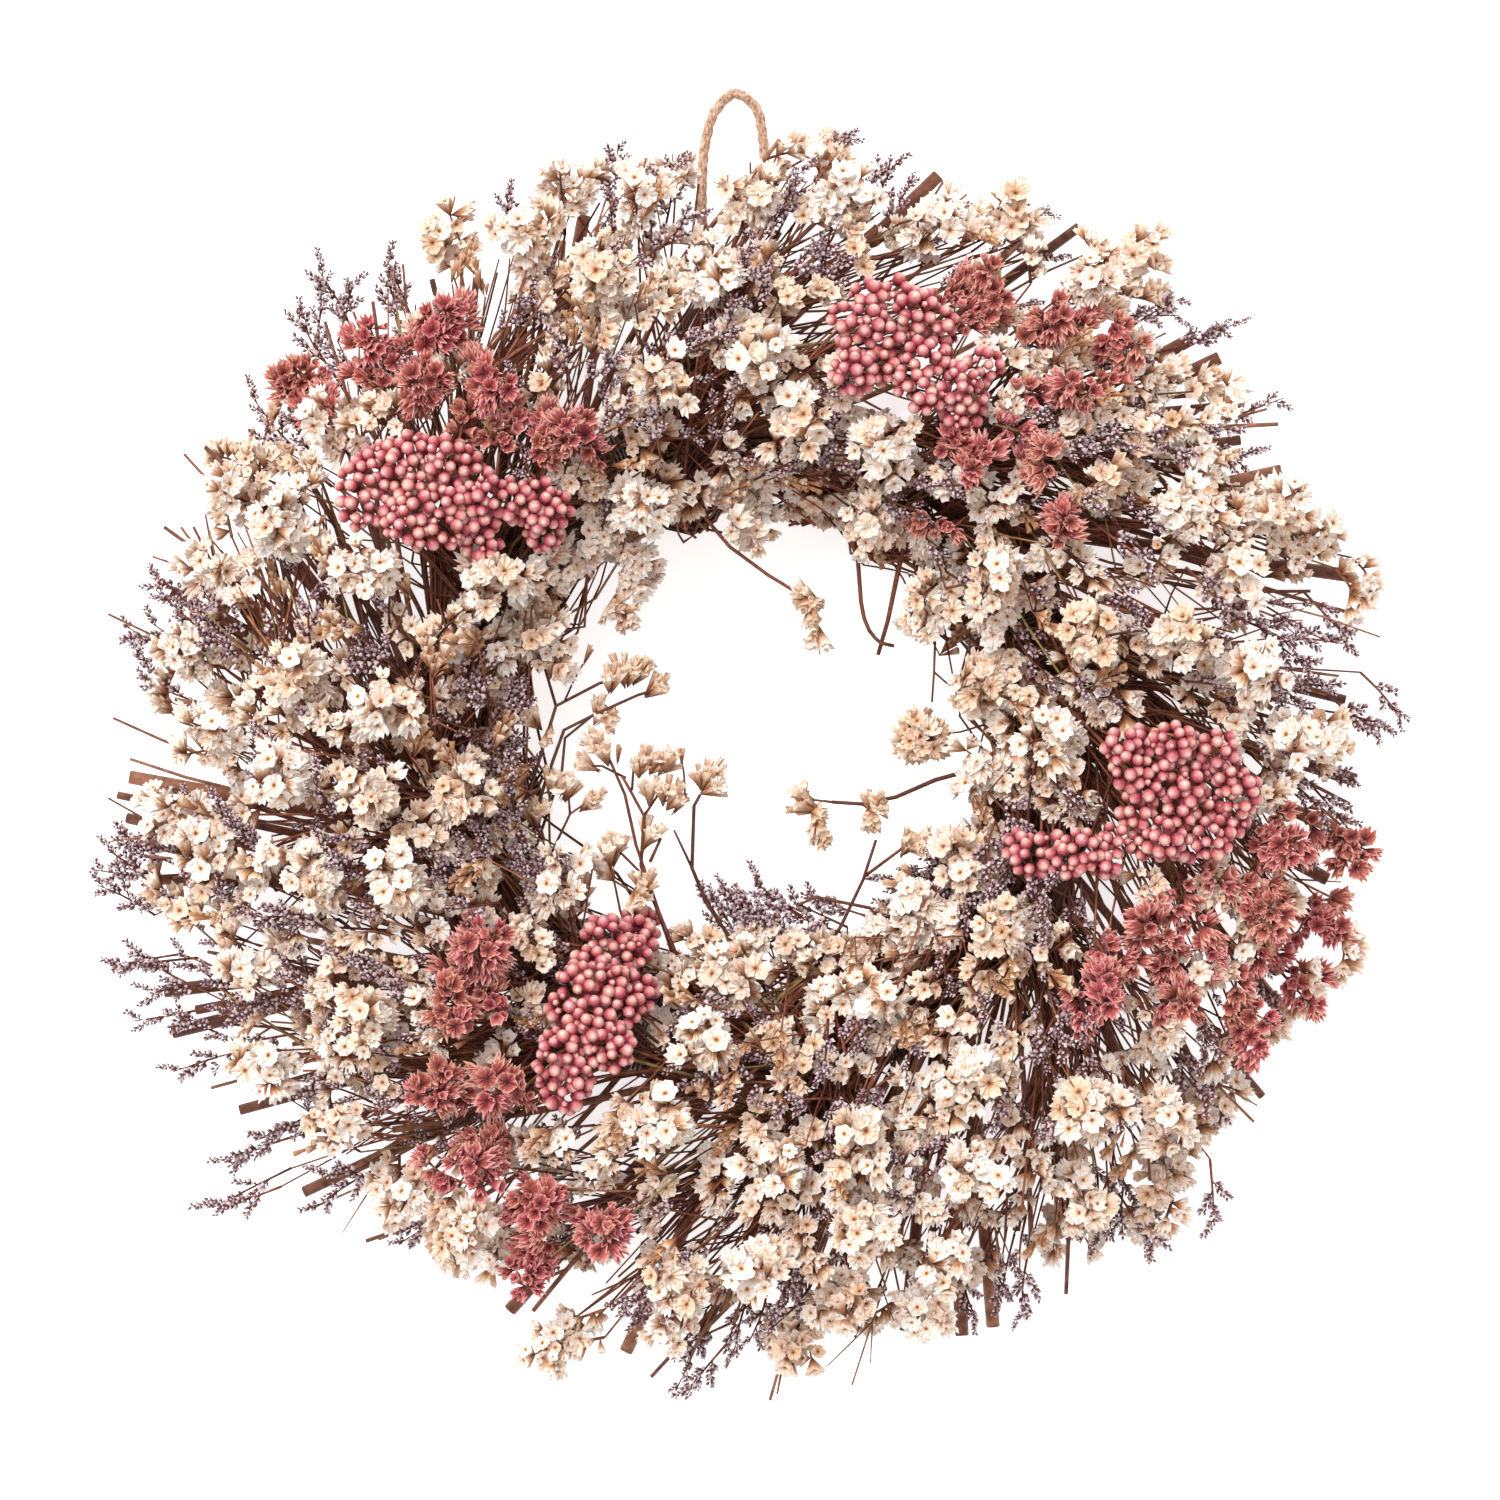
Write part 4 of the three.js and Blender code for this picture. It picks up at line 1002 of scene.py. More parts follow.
def statice_head(pile, head, age, petals, arms, pitch=2.6):
    """Branchlets that fan out from the foot and are crowded with florets."""
    axes = axes_from(head.up, between(0, tau))
    size = 0.8 + 0.2 * head.radius / HEAD_RADIUS
    reach = head.radius - 4.6 * size
    for arm in range(arms):
        turn = tau * (arm + between(-0.3, 0.3)) / arms
        out = axes[0] * cos(turn) + axes[1] * sin(turn)
        lean = radians(between(10, 30) if arm == 0 else between(35, 80))
        tip = head.place + (head.up * cos(lean) + out * sin(lean)) * reach * between(0.75, 1.25)
        knee = head.foot + head.up * 0.55 * head.radius + out * between(0.8, 3)
        add_branchlet(pile, (head.foot, knee, tip), unit(head.up + vec(0, 0, 0.8) + out * 0.4), size,
                      age + between(-0.2, 0.2), petals, 0.32, pitch)


def statice_sprig(pile, place, up, forward, length, age, petals, size):
    """One branchlet that lies along the canopy, its florets facing up and forward."""
    forward = unit(forward - up * (forward @ up))
    side = np.cross(up, forward) * between(-0.25, 0.25) * length
    tip = place + forward * 0.5 * length + side - up * between(4.5, 6.5)
    foot = place - forward * 0.55 * length + side - up * (5 + 0.4 * length)
    add_branchlet(pile, (foot, place - up * 5, tip), unit(up + forward * 0.3), size, age, petals, 0.15)
    return foot


def add_plume(pile, foot, way, up, length, age):
    """A dry spikelet: narrow closed florets that lie forward along it like a feather."""
    side = np.cross(way, up)
    rows = max(3, round(length / 1.7))
    for i in range(rows):
        share = i / (rows - 1)
        for hand in (-1, 0, 1):
            aim = way + side * hand * between(0.35, 0.75) * (1.1 - 0.5 * share) + up * between(0, 0.5)
            place = foot + way * length * share * 0.8 + jitter(0.4)
            add_floret(pile, place, aim + jitter(0.2), pick(dry_florets), between(0.8, 1.1), age)


def along_spine(spine, share):
    position = share * (len(spine) - 1)
    first = min(len(spine) - 2, int(position))
    return spine[first] + (spine[first + 1] - spine[first]) * (position - first)


def add_way(bunch, foot, thick=0.5, count=9):
    """A thin stem from the handle on the ring, along the bunch, and out to a head."""
    spine = bunch.spine
    nearest = min(WAY_SHARES, key=lambda share: norm(along_spine(spine, share) - foot))
    away = norm(along_spine(spine, nearest) - foot)
    leave = max(0.5, nearest - 0.016 * away)
    offset = jitter(2.2)
    points = [spine[0] + offset, spine[1] + offset * 0.6, spine[2] + offset]
    if leave > 0.6:
        points.append(along_spine(spine, (leave + 0.5) / 2) + offset + jitter(0.8))
    points.append(along_spine(spine, leave) + offset * 0.8 + jitter(2.2))
    points.append(foot)
    path = curved(points, count)
    path[:, 2] = np.maximum(path[:, 2], thick * 1.3)
    add_rod(bunch.pile, path, np.linspace(1.3, 0.75, count) * thick, ran.random() ** 1.4 * 0.99, 3)


def caspia_spray(pile, foot, tip, size=1.0, count=5):
    """A thin stem with spikes of tiny florets that branch off round it."""
    axis = unit(tip - foot)
    bow = jitter(0.06 * norm(tip - foot))
    add_rod(pile, bowed(foot, tip, bow, 6), (0.5, 0.45, 0.42, 0.38, 0.3, 0.2), between(0, 0.5), 3)
    for i in range(count):
        share = 0.3 + 0.6 * i / (count - 1)
        base = foot + (tip - foot) * share + bow * sin(pi * share)
        if over_loop(base):
            continue
        spin = GOLDEN_TURN * i + between(-0.5, 0.5)
        axes = axes_from(axis, spin)
        up = unit(axis * 1.0 + axes[0] * between(0.3, 0.85) + jitter(0.15))
        pile.put(pick(twigs), axes_from(up, spin), base, size * between(0.7, 1.0) * (1.1 - 0.35 * share),
                 between(0, 0.25))


def nearest_bunch(kind, place):
    """The bunch of this kind whose flowers sweep out to this place."""
    def cost(bunch):
        sweep = turn_between(binding_degrees(bunch.binding), degrees_of(place))
        return norm(bunch.aim - place) + (0 if SPRIG_REACH[0] < sweep < SPRIG_REACH[1] else OUT_OF_REACH)

    return min((bunch for bunch in bunches if bunch.kind == kind), key=cost)


# Layers of buds: share of a lobe's radius, the room a bud takes, and throws for each lobe.
BEAD_ROOM = 1.475
SMALL_BEAD_ROOM = 0.8
BEAD_LAYERS = ((0.88, BEAD_ROOM, 130), (0.88, SMALL_BEAD_ROOM, 16), (0.5, BEAD_ROOM, 60))


def add_beads(pile, heads):
    """Round buds crowded over the lobes of a rice flower head, with small ones in the gaps."""
    centres = np.array([head.place for head in heads])
    radii = np.array([head.radius for head in heads])
    placed = np.zeros((0, 3))
    rooms = np.zeros(0)
    for layer, room, throws in BEAD_LAYERS:
        for i, head in enumerate(heads):
            for _ in range(throws):
                direction = unit(vec(ran.gauss(0, 1), ran.gauss(0, 1), ran.gauss(0, 1)))
                if direction @ head.up < -0.25:
                    continue
                spot = head.place + direction * head.radius * layer
                inside = away(centres, spot) < radii * layer * 0.97
                inside[i] = False
                if inside.any() or (away(placed, spot) < rooms + room).any():
                    continue
                placed = np.vstack((placed, spot))
                rooms = np.append(rooms, room)
                # The point, with its pale painted highlight, turns outward and partly up.
                axes = axes_from(direction + head.up * 0.4 + jitter(0.3), ran.random() * 6.3)
                tint = tint_near(0.4, 0.3)
                if room == SMALL_BEAD_ROOM:
                    pile.put(small_bead, axes, spot, between(0.46, 0.6), tint)
                else:
                    pile.put(pick(beads), axes, spot, between(0.78, 1.08), tint)


# The heads that the solids have too, each in the pile of its bunch.
for bunch in bunches:
    bunch.pile = Pile()
for bunch in bunches:
    for head in bunch.heads:
        if bunch.kind == "caspia":
            add_way(bunch, head.foot, 0.4)
            caspia_spray(bunch.pile, head.foot, head.place + head.up * 2)
        elif bunch.kind == "white_statice":
            if is_inside(head.place):
                continue
            for _ in range(2):
                add_way(bunch, head.foot)
            age = between(0, 0.5) + (0.45 if is_near(head.place, FADED) else 0)
            arms, pitch = (3, 3.3) if radius_of(head.place) > RIM else (4, 2.6)
            statice_head(bunch.pile, head, age, open_florets, arms, pitch)
        elif bunch.kind == "pink_statice":
            add_way(bunch, head.foot)
            age = between(0, 0.8) + (0.25 if bunch.name in FADED_PINK else 0)
            arms = 2 if bunch.name in SPARSE_PINK else 3
            statice_head(bunch.pile, head, age, frilly_florets, arms, 2.5)
        else:
            add_way(bunch, head.foot, 0.7)

# Finer flowers between the heads, at the photograph's pixels.
RICE_LOBES = (
    ((358, 478), (372, 468), (388, 458), (414, 450), (430, 456), (462, 466), (476, 478), (360, 508),
     (384, 482), (412, 482), (438, 486), (380, 502), (398, 504), (416, 508), (434, 512), (450, 506),
     (404, 524), (424, 528), (446, 528), (466, 500), (480, 520), (484, 542), (512, 500), (540, 496),
     (552, 508), (548, 532)),
    ((846, 318), (866, 300), (892, 294), (916, 300), (936, 322), (860, 345), (888, 336), (910, 344),
     (938, 352), (944, 376), (880, 366), (908, 378), (926, 396), (955, 380), (978, 372), (988, 364),
     (972, 400), (964, 414)),
    ((1122, 748), (1146, 746), (1190, 750), (1226, 764), (1240, 786), (1224, 778), (1198, 768),
     (1160, 764), (1146, 788), (1136, 812), (1180, 812), (1206, 812), (1232, 820), (1188, 846),
     (1146, 846), (1118, 842), (1104, 862), (1066, 860), (1048, 846), (1020, 846)),
    ((638, 930), (630, 956), (618, 972), (600, 1000), (592, 1016), (574, 1030), (560, 1050), (556, 1070),
     (566, 1090), (586, 1062), (604, 1034), (622, 1006), (637, 991), (604, 940), (592, 962), (578, 984),
     (566, 1006)),
)
LOBE_FULLER = (0.6, 0.1, -0.3, 0.9)
PINK_SPRIGS = (
    (296, 376), (321, 388), (305, 404), (366, 366), (392, 344), (404, 382), (427, 331), (455, 315),
    (478, 363), (462, 420), (500, 411), (510, 427), (545, 433), (592, 443), (962, 286), (988, 309),
    (972, 309), (1052, 331), (1093, 315), (1042, 388), (1109, 379), (959, 443), (1020, 430), (1045, 462),
    (930, 532), (1272, 856), (1297, 840), (1326, 837), (1224, 885), (1265, 901), (1284, 926), (1316, 933),
    (1345, 907), (1186, 907), (1147, 926), (1208, 933), (1112, 965), (1099, 994), (1083, 1016),
    (1179, 965), (1179, 1000), (1217, 962), (1246, 1004), (1249, 1032), (1268, 965), (1291, 962),
    (487, 936), (468, 965), (475, 985), (487, 1005), (443, 1090), (516, 1096), (484, 1150), (465, 1173),
    (427, 1179), (519, 1211), (538, 1227), (592, 1227), (525, 1259),
)
CASPIA_SPRAYS = (
    (506, 197), (321, 280), (325, 335), (388, 277), (353, 280), (264, 430), (290, 408), (618, 156),
    (643, 178), (672, 168), (797, 178), (844, 140), (854, 186), (883, 168), (911, 181), (825, 248),
    (844, 258), (749, 245), (525, 296), (615, 352), (951, 486), (1021, 210), (1048, 210), (1179, 315),
    (1221, 326), (1140, 352), (1125, 443), (1099, 457), (1189, 459), (1214, 431), (1252, 452),
    (1042, 417), (1090, 503), (156, 590), (150, 622), (138, 646), (201, 636), (197, 611), (309, 595),
    (251, 767), (313, 780), (229, 824), (219, 808), (124, 837), (112, 853), (98, 885), (177, 852),
    (218, 888), (256, 917), (460, 673), (515, 682), (506, 737), (503, 826), (515, 856), (519, 863),
    (468, 818), (117, 965), (141, 956), (180, 958), (213, 975), (148, 993), (181, 1020), (239, 1007),
    (232, 1045), (283, 965), (337, 959), (363, 972), (296, 1093), (321, 1122), (325, 1176), (261, 1138),
    (232, 1163), (219, 1205), (404, 1227), (672, 1272), (640, 1300), (672, 1351), (685, 1393),
    (787, 1300), (749, 1342), (924, 1272), (720, 1083), (768, 1109), (822, 1077), (860, 1048),
    (848, 1112), (755, 885), (730, 901), (761, 917), (809, 895), (924, 895), (892, 917), (975, 901),
    (1052, 879), (1045, 907), (1045, 933), (1112, 697), (1109, 633), (1147, 617), (1227, 614),
    (1259, 608), (1297, 646), (1348, 639), (1313, 668), (1332, 687), (1307, 710), (1291, 751),
    (1380, 732), (1402, 722), (1326, 815), (1348, 828), (1036, 1058), (1068, 1052), (1090, 1032),
    (1084, 1093), (1048, 1131), (1208, 1055), (1219, 1118), (1214, 1224), (1109, 1205), (1119, 1227),
    (1099, 1240), (1150, 1243), (1001, 1297), (1023, 1316), (978, 1323), (1278, 1004), (712, 897),
    (735, 893), (757, 884), (783, 908), (885, 905), (905, 895), (930, 890), (950, 880), (968, 885),
    (990, 895), (515, 690), (520, 740), (508, 780), (515, 830), (520, 860), (535, 870), (690, 215),
    (735, 300), (700, 330), (765, 275), (640, 260), (600, 280), (560, 330), (655, 400), (1150, 560),
    (1180, 520), (1240, 660), (1290, 690), (1000, 1120), (940, 1170), (880, 1210), (1120, 1130),
    (350, 640), (300, 700), (330, 860), (280, 910), (380, 1100), (890, 880), (915, 870), (940, 865),
    (965, 870), (985, 880), (905, 900), (700, 890), (722, 885), (528, 760), (532, 800), (525, 700),
    (1010, 860), (1030, 830), (745, 905), (790, 900),
)
WHITE_SPRIGS = (
    (575, 162), (663, 159), (691, 152), (793, 137), (819, 143), (844, 137), (1316, 526), (1300, 554),
    (1383, 575), (1367, 588), (1358, 966), (1323, 998), (152, 684), (145, 887), (172, 918), (216, 936),
    (213, 446), (213, 498), (248, 462), (283, 490), (433, 1256), (570, 1332), (548, 1351), (573, 1355),
    (774, 1358), (787, 1329), (806, 1339), (822, 1310), (848, 1319), (874, 1330), (963, 1292),
    (975, 1284), (1163, 1214), (1170, 1237), (1061, 1240), (1192, 1173), (1195, 1147), (1246, 398),
    (1227, 402), (1214, 376), (1160, 290), (1134, 258), (1106, 242), (1039, 239), (988, 223), (1001, 210),
    (969, 207), (770, 925), (790, 945), (815, 935), (838, 948), (866, 935), (740, 950), (715, 962),
    (690, 968), (672, 950), (900, 925), (925, 915), (950, 905), (870, 915), (545, 580), (560, 600),
    (575, 575), (530, 625), (520, 650), (592, 560), (610, 548), (1222, 880), (1228, 905), (1250, 950),
    (1150, 890), (1205, 985), (1280, 1040), (1160, 1030), (1225, 1070), (1060, 360), (1105, 410),
    (1020, 400), (390, 400), (455, 360), (360, 420), (700, 925), (725, 930), (750, 920), (730, 950),
    (640, 945), (1076, 366), (1122, 300), (1016, 350), (1150, 372), (1085, 430), (1010, 500), (1000, 408),
    (1290, 905), (640, 520), (660, 505), (700, 515), (620, 535), (1010, 700), (1000, 730), (985, 650),
    (980, 620), (990, 780),
)
SPRIG_DEPTH = 0.92
CASPIA_DEPTH = 0.97
BUDS_DEPTH = 0.98
THINNED = 0.85
THINNED_AT_RIM = 0.75


def outward_sweep(place, spread=0.9):
    """The way the stems run there: clockwise and outward."""
    outward = unit(vec(place[0], place[1], 0))
    clockwise = vec(outward[1], -outward[0], 0)
    turn = between(-spread, spread)
    way = outward * 0.75 + clockwise * 0.65
    return way * cos(turn) + np.cross(UP, way) * sin(turn)


rice_bunches = [bunch for bunch in bunches if bunch.kind == "rice_flower"]
for bunch, lobes, fuller in zip(rice_bunches, RICE_LOBES, LOBE_FULLER):
    lobe_heads = [SimpleNamespace(place=head.place + head.up * between(-1.5, 1),
                                  radius=6.5 + 2 * min(0, fuller), up=head.up)
                  for head in bunch.heads]
    for spot in lobes:
        place = on_canopy(spot, BUDS_DEPTH)
        up = facing(place)
        lobe_heads.append(SimpleNamespace(place=place + up * between(-4, 1.5),
                                          radius=between(4.6, 5.6) + fuller, up=up))
    for head in lobe_heads[len(bunch.heads):]:
        add_way(bunch, head.place - head.up * 5, 0.5)
    add_beads(bunch.pile, lobe_heads)
rice_places = np.array([on_canopy(spot, BUDS_DEPTH) for lobes in RICE_LOBES for spot in lobes])


def near_buds(place, room=11):
    """Whether a place lies over the heads of round buds, seen from above."""
    return (norm(rice_places[:, :2] - place[:2], axis=1) < room).any()


def add_sprig(kind, place, lengths, ages, petals, spread=0.9, size=0.92):
    """A sprig of statice on a stem of its own, as part of the nearest bunch of its kind."""
    bunch = nearest_bunch(kind, place)
    foot = statice_sprig(bunch.pile, place, facing(place), outward_sweep(place, spread),
                         between(*lengths), between(*ages), petals, size)
    add_way(bunch, foot)


def add_small_spray(place, foot, size, thick):
    bunch = nearest_bunch("caspia", place)
    caspia_spray(bunch.pile, foot, place, size, 3)
    add_way(bunch, foot, thick, 8)


def add_dry_plume(place, foot, way, ages):
    bunch = nearest_bunch("white_statice", place)
    add_plume(bunch.pile, foot, way, facing(place), between(6, 10), between(*ages))
    add_way(bunch, foot, 0.4, 8)


for spot in CASPIA_SPRAYS:
    place = on_canopy(spot, CASPIA_DEPTH)
    way = unit(outward_sweep(place, 0.7))
    if radius_of(place) < INNER_EDGE:
        inward = -unit(vec(place[0], place[1], 0))
        way = unit(vec(place[1], -place[0], 0)) * 0.9 + inward * between(0.1, 0.5)
    up = unit(facing(place) * 0.55 + way * 0.9)
    bunch = nearest_bunch("caspia", place)
    foot = lifted(place - up * 19, 1.0)
    add_way(bunch, foot, 0.4)
    caspia_spray(bunch.pile, foot, place, 0.95)

for spot in PINK_SPRIGS:
    add_sprig("pink_statice", on_canopy(spot, 1.0), (8, 13), (0.1, 0.9), frilly_florets, size=0.88)

for spot in WHITE_SPRIGS:
    add_sprig("white_statice", on_canopy(spot, SPRIG_DEPTH), (9, 14), (0.0, 0.6), open_florets)


def fill_canopy(throws, spacing):
    """Sprigs of white florets wherever there is still room on the canopy."""
    covered = [(head.place, head.radius * (0.35 if bunch.kind == "pink_statice" else 0.9))
               for bunch in bunches for head in bunch.heads if bunch.kind != "caspia"]
    heads, room = (np.array(column) for column in zip(*covered))
    placed = np.array([on_canopy(spot, SPRIG_DEPTH) for spot in WHITE_SPRIGS + PINK_SPRIGS])
    for _ in range(throws):
        depth = between(0.74, 1.0)
        place = in_canopy(between(0, 360), between(-8, 188), depth)
        if is_near(place, BARE + OPEN_GROUND) and ran.random() < THINNED:
            continue
        if radius_of(place) > RIM and ran.random() < THINNED_AT_RIM:
            continue
        if (away(heads, place) < room).any():
            continue
        if (away(placed, place) < spacing).any() or near_buds(place, 12):
            continue
        placed = np.vstack((placed, place))
        add_sprig("white_statice", place, (10, 19), (0.0, 0.75), open_florets, 1.3)


def undergrowth(count):
    """Small sprays of caspia and dry plumes low between the flowers."""
    for i in range(count):
        depth = between(0.68, 0.97)
        place = in_canopy(between(0, 360), between(-5, 150), depth)
        way = unit(outward_sweep(place, 0.8))
        up = unit(facing(place) * 0.5 + way)
        if is_inside(place) or over_loop(place) or near_buds(place):
            continue
        if i % 5:
            add_small_spray(place, lifted(place - up * 15, 1.5), 0.85, 0.4)
        else:
            add_dry_plume(place, place - up * 6, up, (0.3, 0.9))


def plumes(count):
    """Dry plumes that lie among the flowers on the canopy's surface."""
    for _ in range(count):
        place = in_canopy(between(0, 360), between(-5, 180), between(0.94, 1.03))
        if is_inside(place) or over_loop(place) or near_buds(place, 13):
            continue
        way = unit(outward_sweep(place, 1.2) + facing(place) * 0.3)
        add_dry_plume(place, place - way * 5, way, (0.0, 0.7))


def rim_sprays(count):
    """Short caspia sprays that reach out past the flowers at the rim."""
    for _ in range(count):
        place = in_canopy(between(0, 360), between(-12, 22), between(0.95, 1.06))
        up = unit(outward_sweep(place, 0.6) + vec(0, 0, between(-0.1, 0.4)))
        if place[2] >= 5 and not over_loop(place):
            add_small_spray(place, lifted(place - up * 17, 1.5), 0.8, 0.45)


def bare_stems(count):
    """Stems of each bunch that run on between the flowers."""
    for bunch in bunches:
        middle = degrees(atan2(bunch.aim[2] - CANOPY_HEIGHT, radius_of(bunch.aim) - CANOPY_RADIUS))
        for _ in range(count):
            sweep = between(24, 58)
            lean = middle + between(-30, 30)
            foot = lifted(in_canopy(binding_degrees(bunch.binding) - sweep, lean, between(0.6, 1.03)), 2)
            if not over_loop(foot) and not near_buds(foot):
                add_way(bunch, foot, between(0.3, 0.55), 8)


fill_canopy(2300, 13.4)
undergrowth(300)
plumes(80)
rim_sprays(44)
bare_stems(13)

# Thin sprigs that reach into the open middle. Stems: thickness, then pixels with their heights.
INNER_STEMS = (
    (0.5, ((470, 905, 24), (512, 830, 32), (533, 780, 37), (556, 706, 40), (600, 683, 42), (648, 674, 42))),
    (0.5, ((490, 900, 24), (526, 845, 31), (545, 783, 37), (564, 730, 42), (600, 712, 44), (638, 695, 44),
           (658, 689, 44))),
    (0.4, ((535, 850, 32), (562, 770, 38), (565, 738, 39), (592, 716, 40), (604, 712, 40))),
    (0.4, ((556, 706, 40), (546, 672, 42), (540, 656, 43))),
    (0.35, ((565, 700, 41), (574, 680, 43), (583, 664, 44))),
    (0.5, ((690, 1010, 22), (660, 915, 31), (636, 845, 36), (625, 795, 39), (612, 765, 41),
           (604, 748, 42))),
    (0.35, ((626, 778, 39), (602, 766, 40), (584, 766, 40))),
    (0.55, ((700, 1010, 22), (664, 925, 31), (641, 866, 34), (644, 816, 38), (630, 790, 40),
            (622, 776, 40))),
    (0.4, ((644, 816, 38), (656, 798, 40), (664, 782, 42))),
    (0.35, ((632, 790, 40), (634, 762, 42), (650, 752, 42))),
    (0.35, ((640, 860, 35), (646, 842, 36), (650, 832, 37))),
    (0.45, ((650, 862, 35), (661, 838, 36))),
    (0.55, ((780, 1010, 22), (738, 950, 29), (706, 902, 33), (692, 868, 36), (694, 806, 41),
            (700, 795, 42))),
    (0.4, ((692, 868, 36), (674, 830, 38))),
    (0.35, ((674, 812, 41), (685, 795, 42), (684, 774, 43), (682, 762, 43))),
    (0.5, ((600, 985, 24), (575, 915, 30), (563, 876, 32), (550, 854, 34), (538, 830, 36), (532, 816, 37))),
    (0.35, ((550, 854, 34), (549, 812, 37), (552, 778, 39))),
    (0.35, ((552, 852, 34), (570, 814, 37), (590, 800, 38))),
    (0.35, ((570, 814, 37), (568, 788, 39))),
    (0.4, ((690, 1000, 24), (655, 905, 31), (640, 872, 33), (622, 854, 35), (612, 848, 36))),
    (0.35, ((640, 970, 26), (620, 910, 31), (616, 890, 33), (611, 868, 35))),
    (0.6, ((846, 520, 44), (858, 562, 44), (861, 602, 43), (864, 618, 43), (869, 630, 42), (875, 638, 42),
           (881, 643, 41), (894, 646, 40))),
    (0.75, ((905, 540, 42), (897, 576, 41), (888, 620, 39), (878, 655, 38))),
    (0.45, ((945, 560, 40), (936, 616, 38), (934, 672, 37), (932, 702, 36))),
    (0.35, ((934, 672, 37), (950, 686, 37))),
    (0.8, ((915, 560, 40), (923, 604, 38), (930, 622, 37), (938, 632, 36), (948, 640, 34))),
    (0.5, ((690, 500, 40), (730, 547, 40), (768, 575, 40), (796, 592, 40), (812, 600, 40))),
    (0.7, ((1010, 756, 30), (975, 769, 34), (935, 780, 37), (896, 797, 39), (862, 804, 40),
           (832, 802, 41))),
    (0.4, ((832, 802, 41), (814, 800, 41), (804, 792, 42))),
    (0.4, ((862, 804, 40), (872, 812, 41))),
    (0.5, ((800, 990, 22), (841, 926, 28), (863, 880, 34), (876, 840, 38))),
    (0.45, ((865, 876, 34), (900, 850, 37), (910, 840, 38))),
    (0.4, ((1000, 720, 36), (960, 732, 38), (925, 736, 38))),
    (0.4, ((950, 900, 34), (920, 885, 37), (906, 876, 38))),
    (0.5, ((900, 935, 28), (870, 908, 30), (816, 897, 33), (796, 906, 34))),
)
# Tufts and buds: pixel, height, the way they point in degrees from up, and how many florets.
INNER_TUFTS = (
    (612, 676, 46, 8, 7), (626, 670, 46, 0, 7), (640, 668, 44, 20, 6), (660, 688, 44, 60, 5),
    (603, 710, 42, 30, 5), (612, 720, 42, 150, 3), (538, 655, 44, 0, 5), (556, 662, 44, 20, 5),
    (520, 650, 42, -20, 5), (530, 716, 40, -40, 4), (545, 740, 40, 200, 3), (604, 748, 42, -15, 7),
    (590, 742, 42, -45, 4), (584, 766, 40, -70, 3), (640, 760, 43, 0, 6), (655, 758, 43, 20, 6),
    (670, 762, 43, 40, 5), (648, 790, 42, -5, 6), (664, 788, 42, 5, 6), (676, 796, 41, 30, 4),
    (650, 832, 37, 20, 6), (702, 774, 43, 0, 5), (712, 770, 43, 30, 6), (716, 788, 43, 70, 5),
    (532, 812, 37, -20, 8), (540, 806, 37, 25, 5), (552, 778, 39, 10, 6), (566, 784, 39, 5, 5),
    (592, 800, 38, 50, 7), (610, 850, 36, -5, 8), (618, 842, 36, 20, 6), (604, 868, 35, -40, 5),
    (545, 884, 36, 0, 5), (560, 884, 36, 40, 5), (582, 890, 36, 0, 5), (643, 878, 36, 0, 4),
    (645, 892, 36, 60, 4), (636, 904, 36, 180, 4), (800, 792, 42, -20, 6), (806, 803, 42, -60, 5),
    (818, 814, 41, 120, 6), (820, 832, 40, 170, 6), (874, 800, 41, 10, 5), (872, 822, 40, 180, 6),
    (880, 806, 41, 60, 4), (910, 842, 38, 30, 7), (922, 846, 38, 80, 5), (904, 878, 38, -60, 4),
    (814, 604, 40, 160, 6), (812, 622, 39, 170, 6), (814, 640, 38, 185, 5), (800, 596, 40, -80, 3),
    (620, 604, 42, 60, 5), (628, 622, 40, 170, 5), (612, 612, 42, 190, 5),
)
INNER_BUDS = (
    (618, 764, 42, 15), (682, 766, 43, -5), (583, 664, 44, 20), (672, 816, 40, 30), (560, 800, 38, 40),
)
ROUND_HEAD = (921, 738, 36)
ROUND_HEAD_FLORETS = 30


def white_at(*spot):
    """The place seen at a pixel and height, and the pile of its white bunch."""
    base = seen_at(spot[:2], spot[2])
    return base, nearest_bunch("white_statice", base).pile


def pointing(aim, rise):
    return vec(sin(radians(aim)), cos(radians(aim)), rise)


throat_florets = narrow_florets + open_florets[:2]
for thick, route in INNER_STEMS:
    path = np.array([seen_at(at[:2], at[2]) for at in route])
    _, pile = white_at(*route[0])
    add_rod(pile, path, np.linspace(1.15, 0.9, len(path)) * thick, between(0, 0.3), 4)
for *spot, aim, count in INNER_TUFTS:
    base, pile = white_at(*spot)
    way = pointing(aim, 0.35)
    age = between(0.3, 0.8)
    add_tuft(pile, base - way * 5, way, count + 3, between(0.95, 1.1), age, brush_florets, 0.42)
    add_tuft(pile, base - way * 2.5, way, count // 2, 0.8, age - 0.2, throat_florets, 0.55)
for *spot, aim in INNER_BUDS:
    base, pile = white_at(*spot)
    add_tuft(pile, base, pointing(aim, 0.2), 3, 0.8, 1.0, closed_florets, 0.2)
base, pile = white_at(*ROUND_HEAD)
for i in range(ROUND_HEAD_FLORETS):
    rise = 1 - 1.7 * i / (ROUND_HEAD_FLORETS - 1)
    flat = sqrt(1 - rise * rise)
    way = vec(cos(GOLDEN_TURN * i) * flat, sin(GOLDEN_TURN * i) * flat, rise)
    add_floret(pile, base + way * 2.2, way, pick(open_florets), 1.0, 0.8)

